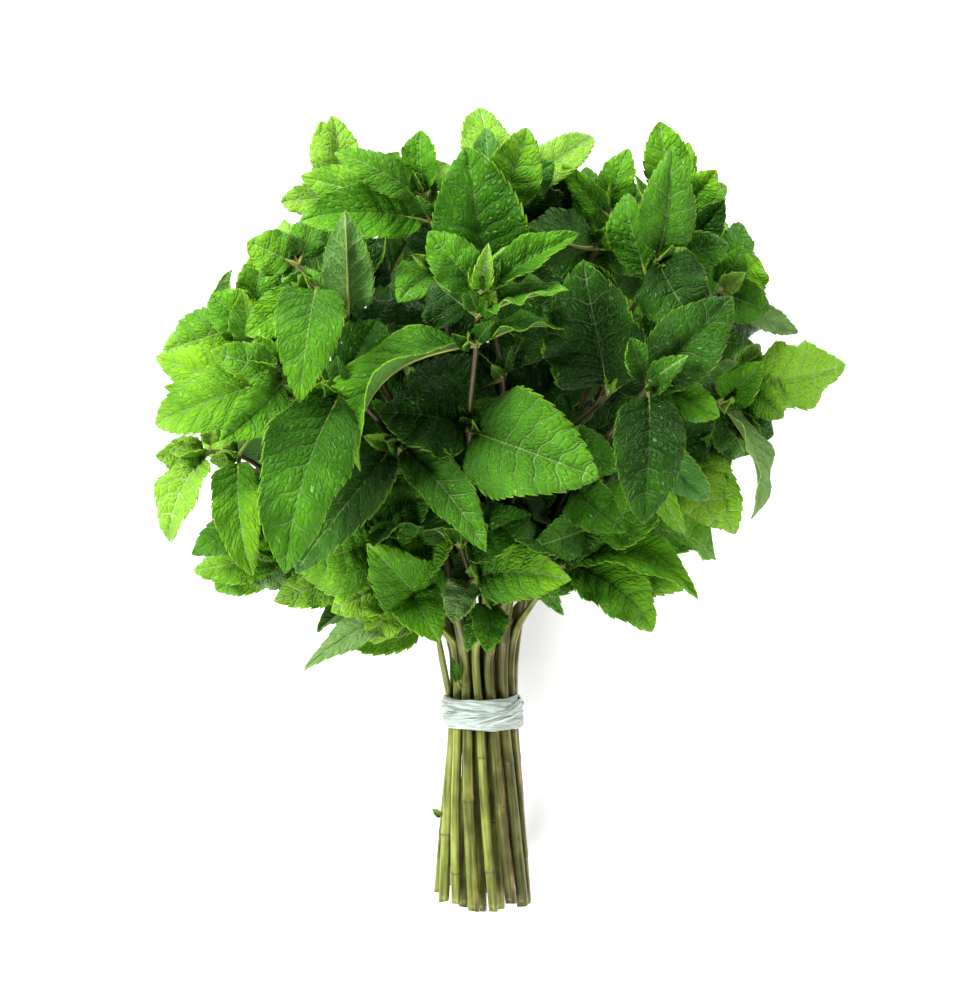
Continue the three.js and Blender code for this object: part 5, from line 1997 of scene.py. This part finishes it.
@dataclass(frozen=True)
class Film:
    """White half-clear plastic film, drawn into streaks, with painted shade in its darker streaks."""

    light: tuple = (0.85, 0.92, 0.86)
    shade: tuple = (0.25, 0.35, 0.28)
    through: float = 0.3
    relief: float = 0.0003           # metres
    stretch: tuple = (6.0, 0.7, 0.2)

    def make(self, grain: bpy.types.NodeTree) -> bpy.types.Material:
        """Makes the material.

        Args:
            grain: the group that draws streaks and patches.

        Returns:
            The material.
        """
        made, net, output = material("twine film")
        place = net.kept("film").outputs["Vector"]
        lines = net.group(grain, {"Place": place, "Stretch": self.stretch, "Chance": 0.3}).outputs
        # painted shade: the darker streaks take the shade colour
        colour = net.ramp(net.step(lines["Streaks"], 0.3, 0.62), ((0.0, self.shade), (1.0, self.light)))
        normal = net.bump(lines["Streaks"], self.relief)
        skin = net.add("BsdfPrincipled", {
            "Base Color": colour,
            "Roughness": net.math("ADD", 0.08, net.math("MULTIPLY", lines["Streaks"], 0.24)),
            "Normal": normal,
        })
        leak = net.add("BsdfTranslucent", {"Color": colour, "Normal": normal})
        both = net.add("MixShader", {0: self.through, 1: skin.outputs[0], 2: leak.outputs[0]})
        net.tree.links.new(both.outputs[0], output.inputs[0])
        return made


# ---------------------------------------------------------------- the bunch and the studio


@dataclass
class Finishes:
    """The materials of the bunch."""

    upper: bpy.types.Material
    under: bpy.types.Material
    stem: bpy.types.Material
    cut: bpy.types.Material
    film: bpy.types.Material


def make_finishes() -> Finishes:
    """Makes the shared node groups and the materials that use them.

    Returns:
        The materials.
    """
    venation = venation_group()
    grain = grain_group()
    return Finishes(
        upper=UPPER.make(venation),
        under=UNDER.make(venation),
        stem=StemSkin().make(grain),
        cut=CutEnd().make(grain),
        film=Film().make(grain),
    )


@dataclass
class Bunch:
    """All the leafy stems and the tie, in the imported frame."""

    nodes: dict
    shift: np.ndarray
    finishes: Finishes
    ring_pitch: float = 42.0         # mean distance between leafless joints
    ring_first: float = 6.0          # the least from the cut end to the first
    ring_stray: float = 0.2
    pink_least: float = 0.15
    middle_shade: float = 0.45       # painted shade of the stem in the middle of the bundle; the outermost have 1
    shoot_pink: float = 0.2
    shoot_shade: float = 1.3

    def build(self) -> None:
        """Builds every piece and hands it over in place of its solids."""
        slots = give_slots()
        for index, nodes in enumerate(SPRIGS):
            name = f"sprig_{index + 1:02d}"
            points, radii = stem_course(nodes, slots[index], index)
            self.stem(name, index, points, radii, slots[index][0])
            self.leaves(name, index, nodes, points)
        tie = Tie(self.shift).build(self.finishes.film)
        hand_over(tie, "twine", "tie")

    def rings(self, index: int) -> tuple:
        """Places of a stem's leafless joints.

        Args:
            index: which stem it is.

        Returns:
            Their distances from its cut end.
        """
        random = Draws(500 + index)
        first = self.ring_first + self.ring_pitch * random.about(0.5, 0.5)
        return first, first + self.ring_pitch * random.about(1, self.ring_stray)

    def stem(self, name: str, index: int, points: np.ndarray, radii: np.ndarray, out: float) -> None:
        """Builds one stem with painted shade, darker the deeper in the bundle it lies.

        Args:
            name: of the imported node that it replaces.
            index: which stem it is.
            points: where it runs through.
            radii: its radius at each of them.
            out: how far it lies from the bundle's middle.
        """
        pink = self.pink_least + (1 - self.pink_least) * float(scattered(np.array(index + 1), 0.53))
        shade = self.middle_shade + (1 - self.middle_shade) * out / RINGS[-1][1]
        made = Stem(points, radii, self.shift, self.rings(index), pink, index + 1, shade)
        pieces = [made.build(self.finishes.stem, self.finishes.cut)]
        if index == SHOOT_SPRIG:
            pieces.append(self.shoot())
        hand_over(joined(f"{name}_stem", pieces), "mint_stem", name)

    def shoot(self) -> bpy.types.Object:
        """Builds the thin side stem near the tie.

        Returns:
            The stem as a closed mesh.
        """
        points = np.array(SHOOT.points, dtype=float)
        radii = np.full(len(points), SHOOT.radius)
        made = Stem(points, radii, self.shift, (), self.shoot_pink, SHOOT_SEED, self.shoot_shade)
        return made.build(self.finishes.stem, self.finishes.cut)

    def leaves(self, name: str, index: int, nodes: tuple, points: np.ndarray) -> None:
        """Builds all leaves of one stem as one piece.

        Args:
            name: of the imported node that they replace.
            index: which stem they grow on.
            nodes: its joints.
            points: where it runs through.
        """
        vertices = self.nodes[name].data.vertices
        tree = KDTree(len(vertices))
        for k, vertex in enumerate(vertices):
            tree.insert(vertex.co, k)
        tree.balance()
        found = [as_packed(leaf, tree, self.shift) for leaf in node_leaves(nodes, index, points)]
        grown = [leaf for leaf in found if leaf]
        LOG.info("%s: %d leaves, %d left out", name, len(grown), len(found) - len(grown))
        pieces = []
        more = inner_leaves(nodes, index, points) + young_leaves(nodes, index, points, grown)
        if index == SHOOT_SPRIG:
            more += sprouts()
        for leaf in grown + more:
            blade = Blade(leaf, self.shift)
            pieces.append(blade.blade(self.finishes.upper, self.finishes.under))
            pieces.append(blade.stalk(self.finishes.stem))
        piece = joined(f"{name}_leaves", pieces)
        hand_over(piece, "mint_leaf", name)


@dataclass
class Studio:
    """A pale surface, soft lights and a camera that looks straight down."""

    middle: tuple = (-0.6, 121.5, 60.0)      # what the camera looks at, in the growers' frame
    frame_height: float = 300.0
    distance: float = 2200.0
    sensor: float = 36.0
    floor_size: float = 6.0
    floor_glow: float = 0.4          # as on a lit table
    aim: tuple = (0.0, 0.0, 0.05)    # what the lights face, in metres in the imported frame
    lamps: tuple = (                 # place in metres, edge in metres and power in watts
        ((-1.15, 0.6, 0.85), 0.5, 43.0),       # key, from the upper left
        ((1.2, -0.1, 0.65), 0.7, 13.0),        # fill, from the right
        ((0.0, 1.4, 0.7), 0.8, 30.0),          # over the head
        ((-0.4, -1.2, 0.8), 0.6, 25.0),        # over the cut ends
    )
    sky: float = 0.07

    def camera(self, shift: np.ndarray) -> None:
        """Adds the camera.

        Args:
            shift: from the growers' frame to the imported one, in millimetres.
        """
        x, y, z = (np.array(self.middle) - shift) * MM
        bpy.ops.object.camera_add(location=(x, y, z + self.distance * MM), rotation=(0, 0, 0))
        camera = bpy.context.object
        camera.data.sensor_width = self.sensor
        camera.data.lens = self.sensor * self.distance / self.frame_height
        camera.data.clip_end = 20
        bpy.context.scene.camera = camera

    def floor(self) -> None:
        """Adds the surface that the bunch lies on."""
        bpy.ops.object.select_all(action="DESELECT")
        bpy.ops.mesh.primitive_plane_add(size=self.floor_size)
        floor = bpy.context.object
        floor.name = "floor"
        made, net, output = material("pale floor")
        spot = net.add("TexCoord").outputs["Object"]
        colour = net.blend(net.noise(spot, 30.0), (0.86, 0.86, 0.86, 1), (0.9, 0.9, 0.9, 1))
        skin = net.add("BsdfPrincipled", {"Base Color": colour})
        skin.inputs["Roughness"].default_value = 0.8
        skin.inputs["Emission Color"].default_value = (1, 1, 1, 1)
        skin.inputs["Emission Strength"].default_value = self.floor_glow
        net.tree.links.new(skin.outputs[0], output.inputs[0])
        floor.data.materials.append(made)
        floor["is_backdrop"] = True

    def light(self, place: tuple, size: float, power: float) -> None:
        """Adds a soft square light that faces the bunch.

        Args:
            place: where it hangs, in metres.
            size: its edge, in metres.
            power: in watts.
        """
        bpy.ops.object.light_add(type="AREA", location=place)
        lamp = bpy.context.object
        lamp.data.size = size
        lamp.data.energy = power
        lamp.rotation_euler = (Vector(self.aim) - Vector(place)).to_track_quat("-Z", "Y").to_euler()

    def lights(self) -> None:
        """Adds the lamps and the sky."""
        for place, size, power in self.lamps:
            self.light(place, size, power)
        world = bpy.data.worlds.new("studio")
        world.use_nodes = True
        background = world.node_tree.nodes["Background"]
        background.inputs["Color"].default_value = (1, 1, 1, 1)
        background.inputs["Strength"].default_value = self.sky
        bpy.context.scene.world = world
        bpy.context.scene.view_settings.view_transform = "Standard"


def main() -> None:
    """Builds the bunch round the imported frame, and sets the studio."""
    logging.basicConfig(level=logging.INFO, format="%(name)s: %(message)s")
    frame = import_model()
    cad_low, cad_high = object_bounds()
    shift = np.array((RIGHTMOST_TIP - cad_high.x / MM, TOPMOST_TIP - cad_high.y / MM, 0.0))
    studio = Studio()
    studio.camera(shift)
    studio.floor()
    studio.lights()
    Bunch(frame["nodes"], shift, make_finishes()).build()


if __name__ == "__main__":
    main()
